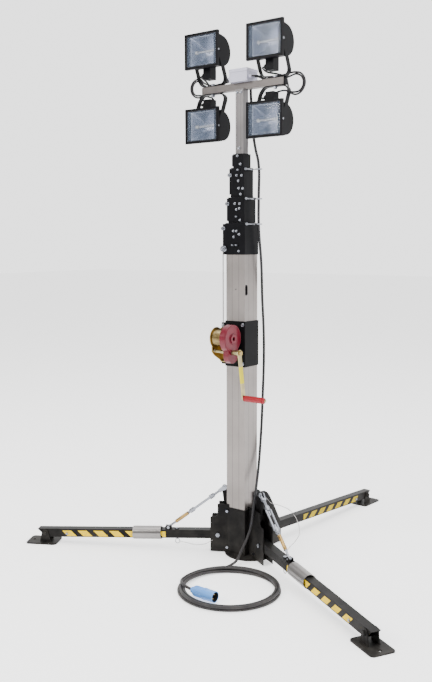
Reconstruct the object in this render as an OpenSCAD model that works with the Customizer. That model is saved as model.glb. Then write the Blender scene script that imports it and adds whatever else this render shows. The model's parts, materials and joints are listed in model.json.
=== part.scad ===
// Portable telescopic floodlight tower: square aluminium mast of five nested stages, lowered,
// on a hub with three folding legs, with a hand winch, four floodlights and a supply cable.
// Millimetres, +Z up, ground at z = 0, mast axis on Z. The winch side of the mast faces -Y
// and the lamps face -Y; the crossbar runs along X.

/* [Mast] */
// Outside width of the ground stage tube
tube_w1 = 100; // [90:120]
// Outside width of the second stage
tube_w2 = 82; // [70:90]
// Outside width of the third stage
tube_w3 = 66; // [54:70]
// Outside width of the fourth stage
tube_w4 = 50; // [40:54]
// Outside width of the top stage
tube_w5 = 40; // [28:42]
// Wall of every stage tube
tube_t = 3; // [2:4]
// Height of the top of the ground stage, collar included
mast_top = 1520; // [1300:1700]
// Height of the underside of the crossbar with the mast down
bar_z = 2099; // [2050:2300]
// Wall of the black stage collars
collar_t = 3; // [2:5]
// Height of the collar on the ground stage
collar_h1 = 140; // [100:180]
// Height of the collar on the second stage
collar_h2 = 111; // [80:140]
// Height of the collar on the third stage
collar_h3 = 128; // [90:150]
// Height of the collar on the fourth stage
collar_h4 = 59; // [40:80]

/* [Hub and legs] */
// Hub centre, along X from the mast axis
hub_x = 36; // [0:60]
// Hub centre, along Y from the mast axis
hub_y = 15; // [0:40]
// Direction of the left leg
leg_az1 = 207.5; // [200:215]
// Direction of the right leg
leg_az2 = 330; // [325:335]
// Direction of the rear leg
leg_az3 = 85; // [80:95]
// Distance of the leg pivots from the hub centre
pivot_r = 148; // [140:170]
// Height of the leg pivots
pivot_z = 84; // [70:110]
// Distance of the foot bolts from the hub centre
foot_r = 990; // [800:1200]
// Height of the foot bolts
foot_z = 48; // [44:60]
// Outside width of the square leg tube
leg_w = 40; // [35:45]
// Wall of the leg tube
leg_t = 3; // [2:4]
// Thickness of the hub's cheek plates
cheek_t = 4; // [3:6]
// Reach of the cheek plates from the hub centre
cheek_r = 183; // [178:200]
// Height of the cheek plates at their outer end
cheek_h = 172; // [130:190]
// Height of the hub's sleeve around the mast
hub_h = 218; // [190:230]
// Length of the sliding sleeve on a leg
sleeve_l = 135; // [80:160]
// Outside diameter of the sliding sleeve
sleeve_d = 62; // [61:70]
// Foot plate length, along the leg
foot_l = 150; // [120:180]
// Foot plate width
foot_w = 105; // [80:130]
// Foot plate thickness
foot_t = 6; // [4:8]

/* [Struts] */
// Distance of the upper strut pins from the hub centre
eye_r = 120; // [112:125]
// Height of the upper strut pins
eye_z = 305; // [290:330]
// Distance of the lower strut pins from the hub centre
pin_r = 386; // [350:430]
// Height of the lower strut pins over the leg's top
pin_up = 9; // [7:14]
// Diameter of the strut rods
rod_d = 10; // [8:12]
// Length of the turnbuckle body
buckle_l = 134; // [110:150]

/* [Winch] */
// Height of the drum axis
drum_z = 1012; // [950:1060]
// Distance of the drum axis in front of the mast's face
drum_out = 66; // [60:80]
// Radius of the drum's flanges
drum_r = 48; // [40:50]
// Radius of the red gear cover
cover_r = 62; // [50:66]
// Drop of the crank shaft below the drum axis
crank_drop = 60; // [50:70]
// Length of the crank arm between axes
crank_l = 208; // [160:220]
// Length of the crank's grip
grip_l = 108; // [90:130]
// Diameter of the crank's grip
grip_d = 27; // [22:32]
// Lean of the crank arm from the vertical
crank_lean = 9; // [0:20]

/* [Head] */
// Half length of the crossbar
bar_half = 216; // [190:260]
// Thickness of the crossbar
bar_w = 30; // [25:40]
// Distance of each lamp's centre from the mast axis
lamp_x = 166; // [150:180]
// Lamp face width
lamp_w = 182; // [160:200]
// Lamp face height
lamp_h = 152; // [130:170]
// Lamp depth
lamp_d = 128; // [115:140]
// Height of the upper lamps' tilt axis over the bar's centre
lamp_up = 161; // [150:190]
// Depth of the lower lamps' tilt axis under the bar's centre
lamp_down = 163; // [150:190]
// Distance of the lamps' front in front of the mast axis
lamp_front = 78; // [70:100]
// Distance of the tilt axis behind the lamp's front
tilt_back = 36; // [30:45]
// Half width of the lamps' bodies
body_half = 69; // [60:72]
// Thickness of the stirrups' strap
strap_t = 4; // [3:5]

/* [Cables] */
// Diameter of the supply cable
cable_d = 12; // [8:14]
// Diameter of the lamp leads
lead_d = 8; // [6:10]
// Coil centre, along X
coil_x = 214; // [150:280]
// Coil centre, along Y
coil_y = -395; // [-450:-340]
// Mean radius of the coil
coil_r = 200; // [150:220]

/* [Hidden] */
gap = 0.3;                                   // clearance of parts that turn on a pin
touch = 0.05;                                // keeps touching parts of one body apart
h1 = tube_w1/2; h2 = tube_w2/2; h3 = tube_w3/2;
z2 = mast_top + 1 + collar_h2;               // tops of the collars, mast down
z3 = z2 + 1 + collar_h3;
z4 = z3 + 1 + collar_h4;
bar_c = bar_z + bar_w/2;                     // height of the bar's centre
bar_y = 12;                                  // the bar stands this far behind the mast axis
leg_len = sqrt(pow(foot_r - pivot_r, 2) + pow(pivot_z - foot_z, 2));
leg_drop = atan2(pivot_z - foot_z, foot_r - pivot_r);
leg_in = 24;                                 // the leg tube goes this far inside its pivot
leg_out = 38;                                // and this far past its foot bolt
pivot_d = 12;
side = leg_w/2 + 1.2;                        // inner face of the cheek plates
pin_z = pivot_z - (pin_r - pivot_r)*tan(leg_drop) + leg_w/2/cos(leg_drop) + pin_up;
strut_l = sqrt(pow(pin_r - eye_r, 2) + pow(eye_z - pin_z, 2));
strut_drop = atan2(eye_z - pin_z, pin_r - eye_r);
sleeve_s = 273;                              // sleeve's inner end, from the leg's pivot
drum_y = -h1 - drum_out;
crank_z = drum_z - crank_drop;
crank_y = drum_y - 5;
crank_x = h1 + 18;                           // the crank's arm turns beside the mast
tilt_y = -lamp_front + tilt_back;
ring_x = 74; ring_y = 24;                    // the cable's guide rings
gland_x = 18; gland_y = 42;                  // the cable's gland under the junction box
ring_z = [mast_top - 6, z2 + 6, z3 + 4];
coil_h = 2.3*cable_d;
// The supply cable's upper stretch, which goes up with the head, from the junction box's gland
// down through two rings
drop_pts = [[gland_x, gland_y, bar_z + 13], [18, 43, bar_z - 14], [20, 45, bar_z - 59],
    [24, 46, bar_z - 119], [33, 43, z3 + 139], [50, 37, z3 + 74], [66, 29, z3 + 36],
    [ring_x, ring_y, ring_z[2]], [ring_x, ring_y, ring_z[1]], [ring_x, ring_y, ring_z[0] + 34]];
// and its lower stretch, from the lowest ring to the coil
cable_pts = [[ring_x, ring_y, ring_z[0] + 26], [ring_x, ring_y, ring_z[0]], [70, 52, 1340],
    [52, 88, 1180], [40, 118, 1040], [38, 124, 900], [42, 110, 740], [58, 72, 560],
    [74, 26, 400], [104, -54, 262], [106, -88, 150], [84, -122, 62], [78, -158, 20],
    [66, -205, 12], [coil_x - coil_r*0.8, coil_y + coil_r*0.6, cable_d/2 + 6]];
plug_l = 120;
plug_at = [coil_x - 93, coil_y - 134, 27];   // the plug's cable end
plug_az = -2;

// ---------------------------------------------------------------- helpers
module box(x0, x1, y0, y1, z0, z1) {
    translate([x0, y0, z0]) cube([x1 - x0, y1 - y0, z1 - z0]);
}

module tube(w, t, z0, z1) {
    difference() {
        box(-w/2, w/2, -w/2, w/2, z0, z1);
        box(-w/2 + t, w/2 - t, -w/2 + t, w/2 - t, z0 - 1, z1 + 1);
    }
}

// places a child drawn along +X in the vertical plane of one leg
module leg_frame(az) {
    translate([hub_x, hub_y, 0]) rotate([0, 0, az]) children();
}

// a cylinder across a leg's plane at (r, z)
module cross(r, z, d, l) {
    translate([r, 0, z]) rotate([90, 0, 0]) cylinder(d = d, h = l, center = true);
}

// a straight rod between two points, lengthened a little at both ends by over
module link(a, b, d, over = 0) {
    v = b - a;
    l = norm(v);
    translate(a) rotate([0, acos(v[2]/l), atan2(v[1], v[0])]) translate([0, 0, -over])
        cylinder(d = d, h = l + 2*over);
}

// a cord's stand-in: eight-sided straight stretches that run a little into one another
module chain(pts, d) {
    for (i = [0:len(pts) - 2]) link(pts[i], pts[i + 1], d, 0.22*d, $fn = 8);
}

// ---------------------------------------------------------------- mast
module mast_tube() {
    color("#9b918c") difference() {
        tube(tube_w1, tube_t, 8, mast_top - 4);
        // slot in the side and small hole in the front of the ground stage
        box(h1 - tube_t - 1, h1 + 1, -h1 + 4, -h1 + 22, 1200, 1246);
        translate([2, -h1 + tube_t + 1, 1226]) rotate([90, 0, 0]) cylinder(d = 7, h = tube_t + 2);
    }
}

// a collar plate wrapped round a stage, with a boss of thicker plate and a pulley bracket
module collar(w, z0, z1, lip, out) {
    o = w/2 + collar_t;
    difference() {
        union() {
            box(-o, o, -o, o, z0, z1);
            // lip over the top of the tube and side bracket of the lift rope's pulley
            box(-o - out, -o + 1, -o, -o + 16, z0 + lip, z1 - 4);
        }
        box(-w/2 - touch, w/2 + touch, -w/2 - touch, w/2 + touch, z0 - 1, z1 + 1);
    }
}

module collar_1() { color("#2a2a2a") collar(tube_w1, mast_top - collar_h1, mast_top, 0, 14); }
module collar_2() { color("#2a2a2a") collar(tube_w2, z2 - collar_h2, z2, 8, 7); }
module collar_3() { color("#2a2a2a") collar(tube_w3, z3 - collar_h3, z3, 12, 7); }
module collar_4() { color("#2a2a2a") collar(tube_w4, z4 - collar_h4, z4, 6, 6); }

module stage(w, z0, z1) {
    color("#9b918c") tube(w, tube_t, z0, z1);
}
module stage_2() { stage(tube_w2, 20, z2 - 2); }
module stage_3() { stage(tube_w3, 26, z3 - 2); }
module stage_4() { stage(tube_w4, 32, z4 - 2); }
module stage_5() { stage(tube_w5, 38, bar_z); }

// a rod along the collar's side with a ring for the supply cable at its end
module guide(o, z) {
    color("#c8c8c8") {
        translate([o + 4 + touch, -o + 4, z]) rotate([-90, 0, 0])
            cylinder(d = 6, h = ring_y + o - 4);
        translate([o + touch, -o + 8, z]) rotate([0, 90, 0]) cylinder(d = 12, h = 6);
        box(o + 1, ring_x - 11, ring_y - 4, ring_y + 4, z - 2, z + 2);
        translate([ring_x, ring_y, z]) rotate_extrude() translate([13, 0]) circle(d = 6);
    }
}
module guide_ring_1() { guide(h1 + collar_t, ring_z[0]); }
module guide_ring_2() { guide(h2 + collar_t, z2 - 7); }
module guide_ring_3() { guide(h3 + collar_t, z3 - 7); }

// ---------------------------------------------------------------- hub
// outline of a side leg's cheek plates, and of the rear leg's
module cheek_side() {
    polygon([[4, 4], [cheek_r, 4], [cheek_r, cheek_h - 6], [cheek_r - 6, cheek_h],
        [pivot_r + 9, cheek_h], [pivot_r + 1, cheek_h + 8], [pivot_r + 1, cheek_h + 60],
        [4, cheek_h + 60]]);
}
module cheek_rear() {
    polygon([[6, 4], [cheek_r + 21, 4], [cheek_r + 21, 70], [cheek_r + 16, 100],
        [cheek_r + 2, 134], [cheek_r - 18, 168], [cheek_r - 37, 200], [cheek_r - 62, 240],
        [cheek_r - 72, 255], [cheek_r - 86, 270], [cheek_r - 106, 281], [6, 288]]);
}

module hub() {
    color("#2a2a2a") difference() {
        union() {
            // sleeve round the mast's foot, and its floor
            box(-h1 - 4, h1 + 4, -h1 - 4, h1 + 4, 2, hub_h);
            translate([hub_x, hub_y, 0]) cylinder(r = 118, h = 6);
            for (az = [leg_az1, leg_az2]) leg_frame(az) {
                for (s = [-1, 1]) translate([0, s*(side + cheek_t/2), 0])
                    rotate([90, 0, 0]) linear_extrude(cheek_t, center = true) cheek_side();
                // upright lug of the strut
                rotate([90, 0, 0]) linear_extrude(8, center = true)
                    polygon([[70, hub_h - 37], [eye_r - 6, hub_h - 37], [eye_r + 11, eye_z - 8],
                        [eye_r + 11, eye_z + 6], [eye_r + 5, eye_z + 12],
                        [eye_r - 5, eye_z + 12], [eye_r - 11, eye_z + 6],
                        [eye_r - 24, eye_z - 12], [70, eye_z - 12]]);
                translate([62, -side - 1, hub_h - 33]) cube([eye_r - 72, 2*side + 2, 29]);
            }
            // spacer between the rear cheeks, behind the mast
            leg_frame(leg_az3) translate([42, -side - 1, 3]) cube([18, 2*side + 2, 262]);
            leg_frame(leg_az3) for (s = [-1, 1]) translate([0, s*(side + cheek_t/2), 0])
                rotate([90, 0, 0]) linear_extrude(cheek_t, center = true) cheek_rear();
        }
        box(-h1 - touch, h1 + touch, -h1 - touch, h1 + touch, 8 - touch, 2000);
        for (az = [leg_az1, leg_az2, leg_az3]) leg_frame(az)
            cross(pivot_r, pivot_z, pivot_d + 2*touch, 200);
        for (az = [leg_az1, leg_az2]) leg_frame(az) cross(eye_r, eye_z, 8.6, 40);
    }
}

// a bolt across one leg's plane with a head at each side
module hub_bolt(az, r, z, d) {
    l = 2*(side + cheek_t);
    leg_frame(az) {
        cross(r, z, d, l + 2);
        for (s = [-1, 1]) translate([r, s*(l/2 + 4.1), z]) rotate([90, 0, 0])
            cylinder(d = 1.7*d, h = 8, center = true, $fn = 6);
    }
}

module hub_bolts() {
    color("#c8c8c8") {
        for (az = [leg_az1, leg_az2, leg_az3]) hub_bolt(az, pivot_r, pivot_z, pivot_d);
        // heads on the near cheek plate of each side leg
        for (leg = [[leg_az1, 1, 105], [leg_az2, -1, 93]]) for (z = [27, hub_h - 18])
            leg_frame(leg[0]) translate([leg[2], leg[1]*(side + cheek_t + touch), z])
                rotate([-90*leg[1], 0, 0]) cylinder(d = 13, h = 7, $fn = 6);
    }
}

// ---------------------------------------------------------------- winch
module winch_plate() {
    z0 = drum_z - 133; z1 = drum_z + 72;
    color("#2a2a2a") {
        difference() {
            box(-h1 - 4, h1 + 4, -h1 - 4, h1 + 4, z0, z1);
            box(-h1 - touch, h1 + touch, -h1 - touch, h1 + touch, z0 - 1, z1 + 1);
        }
        box(-h1 - 24, -h1 - 3, -h1 - 4, -h1, z0 + 8, z1 - 8);
    }
}

module winch_frame() {
    y0 = -h1 - 4 - touch;
    color("#a08a50") difference() {
        union() {
            // two side cheeks joined by a back plate against the mast's plate
            for (x = [-64, 2]) translate([x - 2, 0, 0]) rotate([90, 0, 90]) linear_extrude(4)
                polygon([[y0, drum_z - 110], [y0, drum_z + 46], [drum_y - 6, drum_z + 22],
                    [drum_y - 26, drum_z - 8], [drum_y - 26, drum_z - 62],
                    [drum_y - 8, drum_z - 80], [y0 - 14, drum_z - 112]]);
            box(-66, 4, y0 - 4, y0, drum_z - 112, drum_z + 46);
            box(-66, 4, y0 - 24, y0, drum_z - 113, drum_z - 109);
        }
        translate([-80, drum_y, drum_z]) rotate([0, 90, 0]) cylinder(d = 16 + 2*gap, h = 100);
        translate([-80, crank_y, crank_z]) rotate([0, 90, 0]) cylinder(d = 14 + 2*gap, h = 100);
    }
}

module winch_cover() {
    x0 = 4 + touch; x1 = 32;
    color("#8b2335") difference() {
        union() {
            translate([x0, drum_y, drum_z]) rotate([0, 90, 0]) cylinder(r = cover_r, h = x1 - x0);
            translate([x0, crank_y + 8, crank_z - 14]) rotate([0, 90, 0])
                cylinder(r = 36, h = x1 - x0);
            box(x0, x1, crank_y - 28, crank_y + 44, crank_z - 10, drum_z);
            translate([x1 - 1, drum_y, drum_z]) rotate([0, 90, 0]) cylinder(r = 20, h = 7);
        }
        // hollow behind, hub hole in front
        translate([x0 - 1, drum_y, drum_z]) rotate([0, 90, 0])
            cylinder(r = cover_r - 3, h = x1 - x0 - 2);
        translate([x0 - 1, crank_y + 8, crank_z - 14]) rotate([0, 90, 0])
            cylinder(r = 33, h = x1 - x0 - 2);
        translate([x0 - 1, drum_y, drum_z]) rotate([0, 90, 0]) cylinder(r = 10, h = 60);
        translate([x0 - 1, crank_y, crank_z]) rotate([0, 90, 0]) cylinder(r = 9, h = 60);
        // clear of the mast's plate
        box(x0 - 5, x1 + 20, -h1 - 4 - 1, 0, drum_z - 200, drum_z + 200);
    }
}

module winch_drum() {
    color("#b09a5c") translate([0, drum_y, drum_z]) rotate([0, 90, 0]) {
        translate([0, 0, -60]) cylinder(r = drum_r, h = 3);
        translate([0, 0, -5]) cylinder(r = drum_r, h = 3);
        translate([0, 0, -58]) cylinder(r = 24, h = 54);
        translate([0, 0, -72]) cylinder(d = 16, h = 94);
        // wound rope
        translate([0, 0, -56.9]) cylinder(r = 33, h = 51.8);
    }
}

module crank_arm() {
    color("#2a2a2a") translate([0, crank_y, crank_z]) {
        translate([-62, 0, 0]) rotate([0, 90, 0]) cylinder(d = 14, h = crank_x + 62);
        translate([38, 0, 0]) rotate([0, 90, 0]) cylinder(d = 24, h = crank_x - 38);
        rotate([crank_lean, 0, 0]) {
            translate([crank_x, 0, 0]) rotate([0, 90, 0]) cylinder(d = 30, h = 6);
            box(crank_x, crank_x + 6, -11, 11, -crank_l, 0);
            translate([crank_x, 0, -crank_l]) rotate([0, 90, 0]) cylinder(d = 22, h = 6);
            translate([crank_x, 0, -crank_l]) rotate([0, 90, 0]) cylinder(d = 10, h = grip_l + 12);
        }
    }
}

module crank_grip() {
    color("#d02a3a") translate([0, crank_y, crank_z]) rotate([crank_lean, 0, 0])
        translate([crank_x + 7, 0, -crank_l]) rotate([0, 90, 0]) difference() {
            union() {
                translate([0, 0, 2]) cylinder(d = grip_d - 4, h = grip_l - 4);
                translate([0, 0, 8]) cylinder(d = grip_d, h = grip_l - 18);
                cylinder(d = grip_d - 1, h = 4);
            }
            translate([0, 0, -1]) cylinder(d = 10 + 2*gap, h = grip_l + 9);
        }
}

// rope from the drum up to the pulley on the ground stage's collar, with that pulley
module lift_rope() {
    px = -h1 - 9;
    color("#b8b8b8") {
        link([-34, drum_y + 20, drum_z + 30], [px, -h1 - 12, mast_top - collar_h1 + 26], 5);
        translate([px, -h1 - 3.5, mast_top - collar_h1 + 26]) rotate([90, 0, 0])
            cylinder(d = 26, h = 12);
    }
}

// ---------------------------------------------------------------- head
module crossbar() {
    color("#a09a96") difference() {
        box(-bar_half, bar_half, bar_y - bar_w/2, bar_y + bar_w/2, bar_z + touch, bar_z + bar_w);
        box(-bar_half - 1, bar_half + 1, bar_y - bar_w/2 + 2.5, bar_y + bar_w/2 - 2.5,
            bar_z + 2.5, bar_z + bar_w - 2.5);
    }
}

module junction_box() {
    z0 = bar_z + bar_w + touch;
    color("#c9c6d8") {
        box(-47, 47, -31, 53, z0, z0 + 40);
        box(-48, 48, -32, 54, z0 + 41, z0 + 55);
        box(-45, 45, -29, 51, z0 + 39, z0 + 42);
        // cable glands
        for (s = [-1, 1]) for (y = [-12, 12]) translate([s*46, y, z0 + 20])
            rotate([0, s*90, 0]) cylinder(d = 16, h = 14, $fn = 6);
        translate([gland_x, gland_y, z0 - 12]) cylinder(d = 20, h = 13, $fn = 6);
    }
}

// a lamp's stirrup drawn for an upper lamp at x = 0: a bent strap whose arms lean forward
module stirrup_shape(up) {
    w = body_half + 1.5;                     // inner half width
    top = up - bar_w/2;                      // tilt axis over the bar's face
    r = 38;                                  // bend of the strap
    color("#2a2a2a") difference() {
        intersection() {
            // the strap's outline seen from the front
            translate([0, 100, touch]) rotate([90, 0, 0]) linear_extrude(240) difference() {
                union() {
                    translate([-w - strap_t, r]) square([2*(w + strap_t), top + 20]);
                    translate([-w - strap_t + r, 0]) square([2*(w + strap_t - r), top]);
                    for (s = [-1, 1]) translate([s*(w + strap_t - r), r]) circle(r = r);
                }
                translate([-w, r]) square([2*w, top + 60]);
                translate([-w - strap_t + r, strap_t]) square([2*(w + strap_t - r), top]);
                for (s = [-1, 1]) translate([s*(w + strap_t - r), r]) circle(r = r - strap_t);
            }
            // and seen from the side
            rotate([90, 0, 90]) linear_extrude(400, center = true) union() {
                polygon([[bar_y - 13, 0], [bar_y + 13, 0], [bar_y + 13, 20],
                    [tilt_y + 12, top], [tilt_y - 12, top], [bar_y - 13, 20]]);
                translate([tilt_y, top]) circle(r = 12);
            }
        }
        translate([0, tilt_y, top]) rotate([0, 90, 0]) cylinder(d = 8 + 2*gap, h = 300, center = true);
    }
}
module stirrup(sx, up) {
    if (up) translate([sx*lamp_x, 0, bar_z + bar_w]) stirrup_shape(lamp_up);
    else translate([sx*lamp_x, 0, bar_z]) mirror([0, 0, 1]) stirrup_shape(lamp_down);
}
module stirrup_1() { stirrup(-1, true); }
module stirrup_2() { stirrup(1, true); }
module stirrup_3() { stirrup(-1, false); }
module stirrup_4() { stirrup(1, false); }

// an upper lamp drawn round its tilt axis, facing -Y, with its terminal box underneath
module lamp_shape() {
    f = -tilt_back;                          // the front face
    w = lamp_w/2; h = lamp_h/2;
    rb = 66;                                 // rounding of the body's back
    c = f + lamp_d - rb;                     // its centre
    color("#1c1c1c") difference() {
        union() {
            // bezel, then the drum-backed body
            box(-w, w, f, f + 14, -h, h);
            box(-body_half, body_half, f + 13, c, -h + 8, h - 8);
            translate([0, c, 0]) rotate([0, 90, 0]) cylinder(r = rb, h = 2*body_half, center = true);
            // terminal box with its gland
            box(-20, 20, c - 20, c + 24, -h - 42, -rb + 20);
            translate([-19, c + 2, -h - 22]) rotate([0, -90, 0]) cylinder(d = 22, h = 16);
            // tilt pins
            for (s = [-1, 1]) translate([s*(body_half + 5), 0, 0]) rotate([0, 90, 0])
                cylinder(d = 8, h = 14, center = true);
            for (s = [-1, 1]) translate([s*(body_half + strap_t + 5), 0, 0]) rotate([0, 90, 0])
                cylinder(d = 15, h = 6, center = true, $fn = 6);
        }
        // nothing stands in front of the bezel
        box(-w, w, f - 20, f, -h, h);
        // recess of the glass, window and inner hollow
        box(-w + 9, w - 9, f - 1, f + 7, -h + 9, h - 9);
        box(-body_half + 4, body_half - 4, f + 6, c, -h + 14, h - 14);
        translate([0, c, 0]) rotate([0, 90, 0])
            cylinder(r = rb - 4, h = 2*body_half - 8, center = true);
    }
}
module glass_shape() {
    color("#9fb4c8") box(-lamp_w/2 + 9 + touch, lamp_w/2 - 9 - touch, -tilt_back + 2.5,
        -tilt_back + 7 - touch, -lamp_h/2 + 9 + touch, lamp_h/2 - 9 - touch);
}
// the lower lamps hang upside down, terminal box on top
module at_lamp(sx, up) {
    translate([sx*lamp_x, tilt_y, up ? bar_c + lamp_up : bar_c - lamp_down])
        mirror([0, 0, up ? 0 : 1]) children();
}
module lamp_1() { at_lamp(-1, true) lamp_shape(); }
module lamp_2() { at_lamp(1, true) lamp_shape(); }
module lamp_3() { at_lamp(-1, false) lamp_shape(); }
module lamp_4() { at_lamp(1, false) lamp_shape(); }
module glass_1() { at_lamp(-1, true) glass_shape(); }
module glass_2() { at_lamp(1, true) glass_shape(); }
module glass_3() { at_lamp(-1, false) glass_shape(); }
module glass_4() { at_lamp(1, false) glass_shape(); }

// ---------------------------------------------------------------- legs
// draws a child along +X from the pivot, following the leg's slope
module leg_line(az) {
    leg_frame(az) translate([pivot_r, 0, pivot_z]) rotate([0, leg_drop, 0]) children();
}

module leg(az, strut) {
    hw = leg_w/2;
    color("#1f1f1f") leg_line(az) difference() {
        union() {
            box(-leg_in, leg_len + leg_out, -hw, hw, -hw, hw);
            if (strut) translate([pin_r - pivot_r - 14, 0, hw - 0.5]) for (s = [-1, 1])
                translate([0, s*9, 0]) translate([0, -2, 0]) cube([28, 4, pin_up + 7]);
        }
        box(-leg_in - 1, leg_len + leg_out + 20, -hw + leg_t, hw - leg_t, -hw + leg_t, hw - leg_t);
        // slanting cut of the outer end
        translate([leg_len + leg_out, 0, hw + 0.1]) rotate([0, 45, 0])
            box(0, 80, -hw - 1, hw + 1, -60, 60);
        rotate([90, 0, 0]) cylinder(d = pivot_d + 2*gap, h = 2*hw + 2, center = true);
        translate([leg_len, 0, 0]) rotate([90, 0, 0])
            cylinder(d = 12 + 2*touch, h = 2*hw + 2, center = true);
        if (strut) {
            rotate([0, -leg_drop, 0]) translate([pin_r - pivot_r, 0, pin_z - pivot_z])
                rotate([90, 0, 0]) cylinder(d = 8 + 2*touch, h = 60, center = true);
            translate([pin_r - pivot_r - 40, 0, 0]) cylinder(d = 9 + 2*touch, h = 100, center = true);
        }
    }
}
module leg_1() { leg(leg_az1, true); }
module leg_2() { leg(leg_az2, true); }
module leg_3() { leg(leg_az3, false); }

// pins that hold the strut's lower end, with the pull ring below the leg
module leg_pin(az) {
    hw = leg_w/2;
    color("#c8c8c8") {
        leg_frame(az) {
            cross(pin_r, pin_z, 8, 26);
            translate([pin_r, 13.5, pin_z]) rotate([90, 0, 0]) cylinder(d = 13, h = 3, center = true);
        }
        leg_line(az) translate([pin_r - pivot_r - 40, 0, 0]) {
            translate([0, 0, -hw - 10]) cylinder(d = 9, h = 2*hw + 14);
            translate([0, 0, hw + touch]) cylinder(d = 18, h = 5);
            translate([0, 0, -hw - 20]) rotate([90, 0, 0]) rotate_extrude()
                translate([11, 0]) circle(d = 3.2);
        }
    }
}
module leg_pin_1() { leg_pin(leg_az1); }
module leg_pin_2() { leg_pin(leg_az2); }

module foot(az) {
    lug = leg_w/2 + 1.2;
    color("#242424") leg_frame(az) difference() {
        union() {
            translate([foot_r + 14 - foot_l/2 + 16, -foot_w/2, 0]) cube([foot_l - 32, foot_w, foot_t]);
            translate([foot_r + 14 - foot_l/2, -foot_w/2 + 16, 0]) cube([foot_l, foot_w - 32, foot_t]);
            for (i = [-1, 1]) for (j = [-1, 1])
                translate([foot_r + 14 + i*(foot_l/2 - 16), j*(foot_w/2 - 16), 0])
                    cylinder(r = 16, h = foot_t);
            for (s = [-1, 1]) translate([foot_r, s*(lug + 2.5), 0]) rotate([90, 0, 0])
                linear_extrude(5, center = true) union() {
                    translate([0, foot_z]) circle(r = 17);
                    polygon([[-26, 1], [26, 1], [17, foot_z], [-17, foot_z]]);
                }
            cross(foot_r, foot_z, 12, 2*lug + 10);
            for (s = [-1, 1]) translate([foot_r, s*(lug + 9), foot_z]) rotate([90, 0, 0])
                cylinder(d = 20, h = 8, center = true, $fn = 6);
        }
        // peg hole
        translate([foot_r + 62, 0, -1]) cylinder(d = 14, h = foot_t + 2);
    }
}
module foot_1() { foot(leg_az1); }
module foot_2() { foot(leg_az2); }
module foot_3() { foot(leg_az3); }

module sleeve(az) {
    color("#b0aaaa") leg_line(az) translate([sleeve_s, 0, 0]) rotate([0, 90, 0]) difference() {
        cylinder(d = sleeve_d, h = sleeve_l);
        translate([0, 0, -1]) cylinder(d = leg_w*sqrt(2) + 1, h = sleeve_l + 2);
    }
}
module sleeve_1() { sleeve(leg_az1); }
module sleeve_2() { sleeve(leg_az2); }

// ---------------------------------------------------------------- struts
// draws a child along +X from the strut's upper pin
module strut_line(az) {
    leg_frame(az) translate([eye_r, 0, eye_z]) rotate([0, strut_drop, 0]) children();
}

module strut(az) {
    b0 = 66; b1 = b0 + buckle_l;
    color("#c4c8d0") strut_line(az) difference() {
        union() {
            // fork on the hub's lug
            for (s = [-1, 1]) translate([0, s*6.8, 0]) rotate([90, 0, 0]) {
                cylinder(d = 24, h = 4, center = true);
                translate([0, -8, -2]) cube([26, 16, 4]);
            }
            translate([20, -8.8, -8]) cube([10, 17.6, 16]);
            // upper and lower rods, thick lock tube, eye on the leg's lug
            translate([28, 0, 0]) rotate([0, 90, 0]) cylinder(d = rod_d, h = b0 - 28 + 40);
            translate([b1 - 40, 0, 0]) rotate([0, 90, 0])
                cylinder(d = rod_d, h = strut_l - b1 + 40 - 7);
            translate([b1 + 14, 0, 0]) rotate([0, 90, 0]) cylinder(d = 15, h = 76);
            translate([strut_l, 0, 0]) rotate([90, 0, 0]) cylinder(d = 16, h = 12, center = true);
        }
        rotate([90, 0, 0]) cylinder(d = 8 + 2*touch, h = 30, center = true);
        translate([strut_l, 0, 0]) rotate([90, 0, 0]) cylinder(d = 8 + 2*gap, h = 30, center = true);
    }
    color("#c4c8d0") strut_line(az) rotate([90, 0, 0]) {
        cylinder(d = 8, h = 22, center = true);
        for (s = [-1, 1]) translate([0, 0, s*10.5]) cylinder(d = 13, h = 3.4, center = true);
    }
}
module strut_1() { strut(leg_az1); }
module strut_2() { strut(leg_az2); }

// the turnbuckle's open body, which turns on the two rods
module buckle(az) {
    color("#c4c8d0") strut_line(az) translate([66, 0, 0]) difference() {
        union() {
            for (x = [0, buckle_l - 20]) translate([x, 0, 0]) rotate([0, 90, 0])
                cylinder(d = 21, h = 20);
            for (s = [-1, 1]) translate([14, s*10.5 - 3, -4]) cube([buckle_l - 28, 6, 8]);
        }
        translate([-1, 0, 0]) rotate([0, 90, 0]) cylinder(d = rod_d + 2*gap, h = buckle_l + 2);
    }
}
module buckle_1() { buckle(leg_az1); }
module buckle_2() { buckle(leg_az2); }

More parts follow.
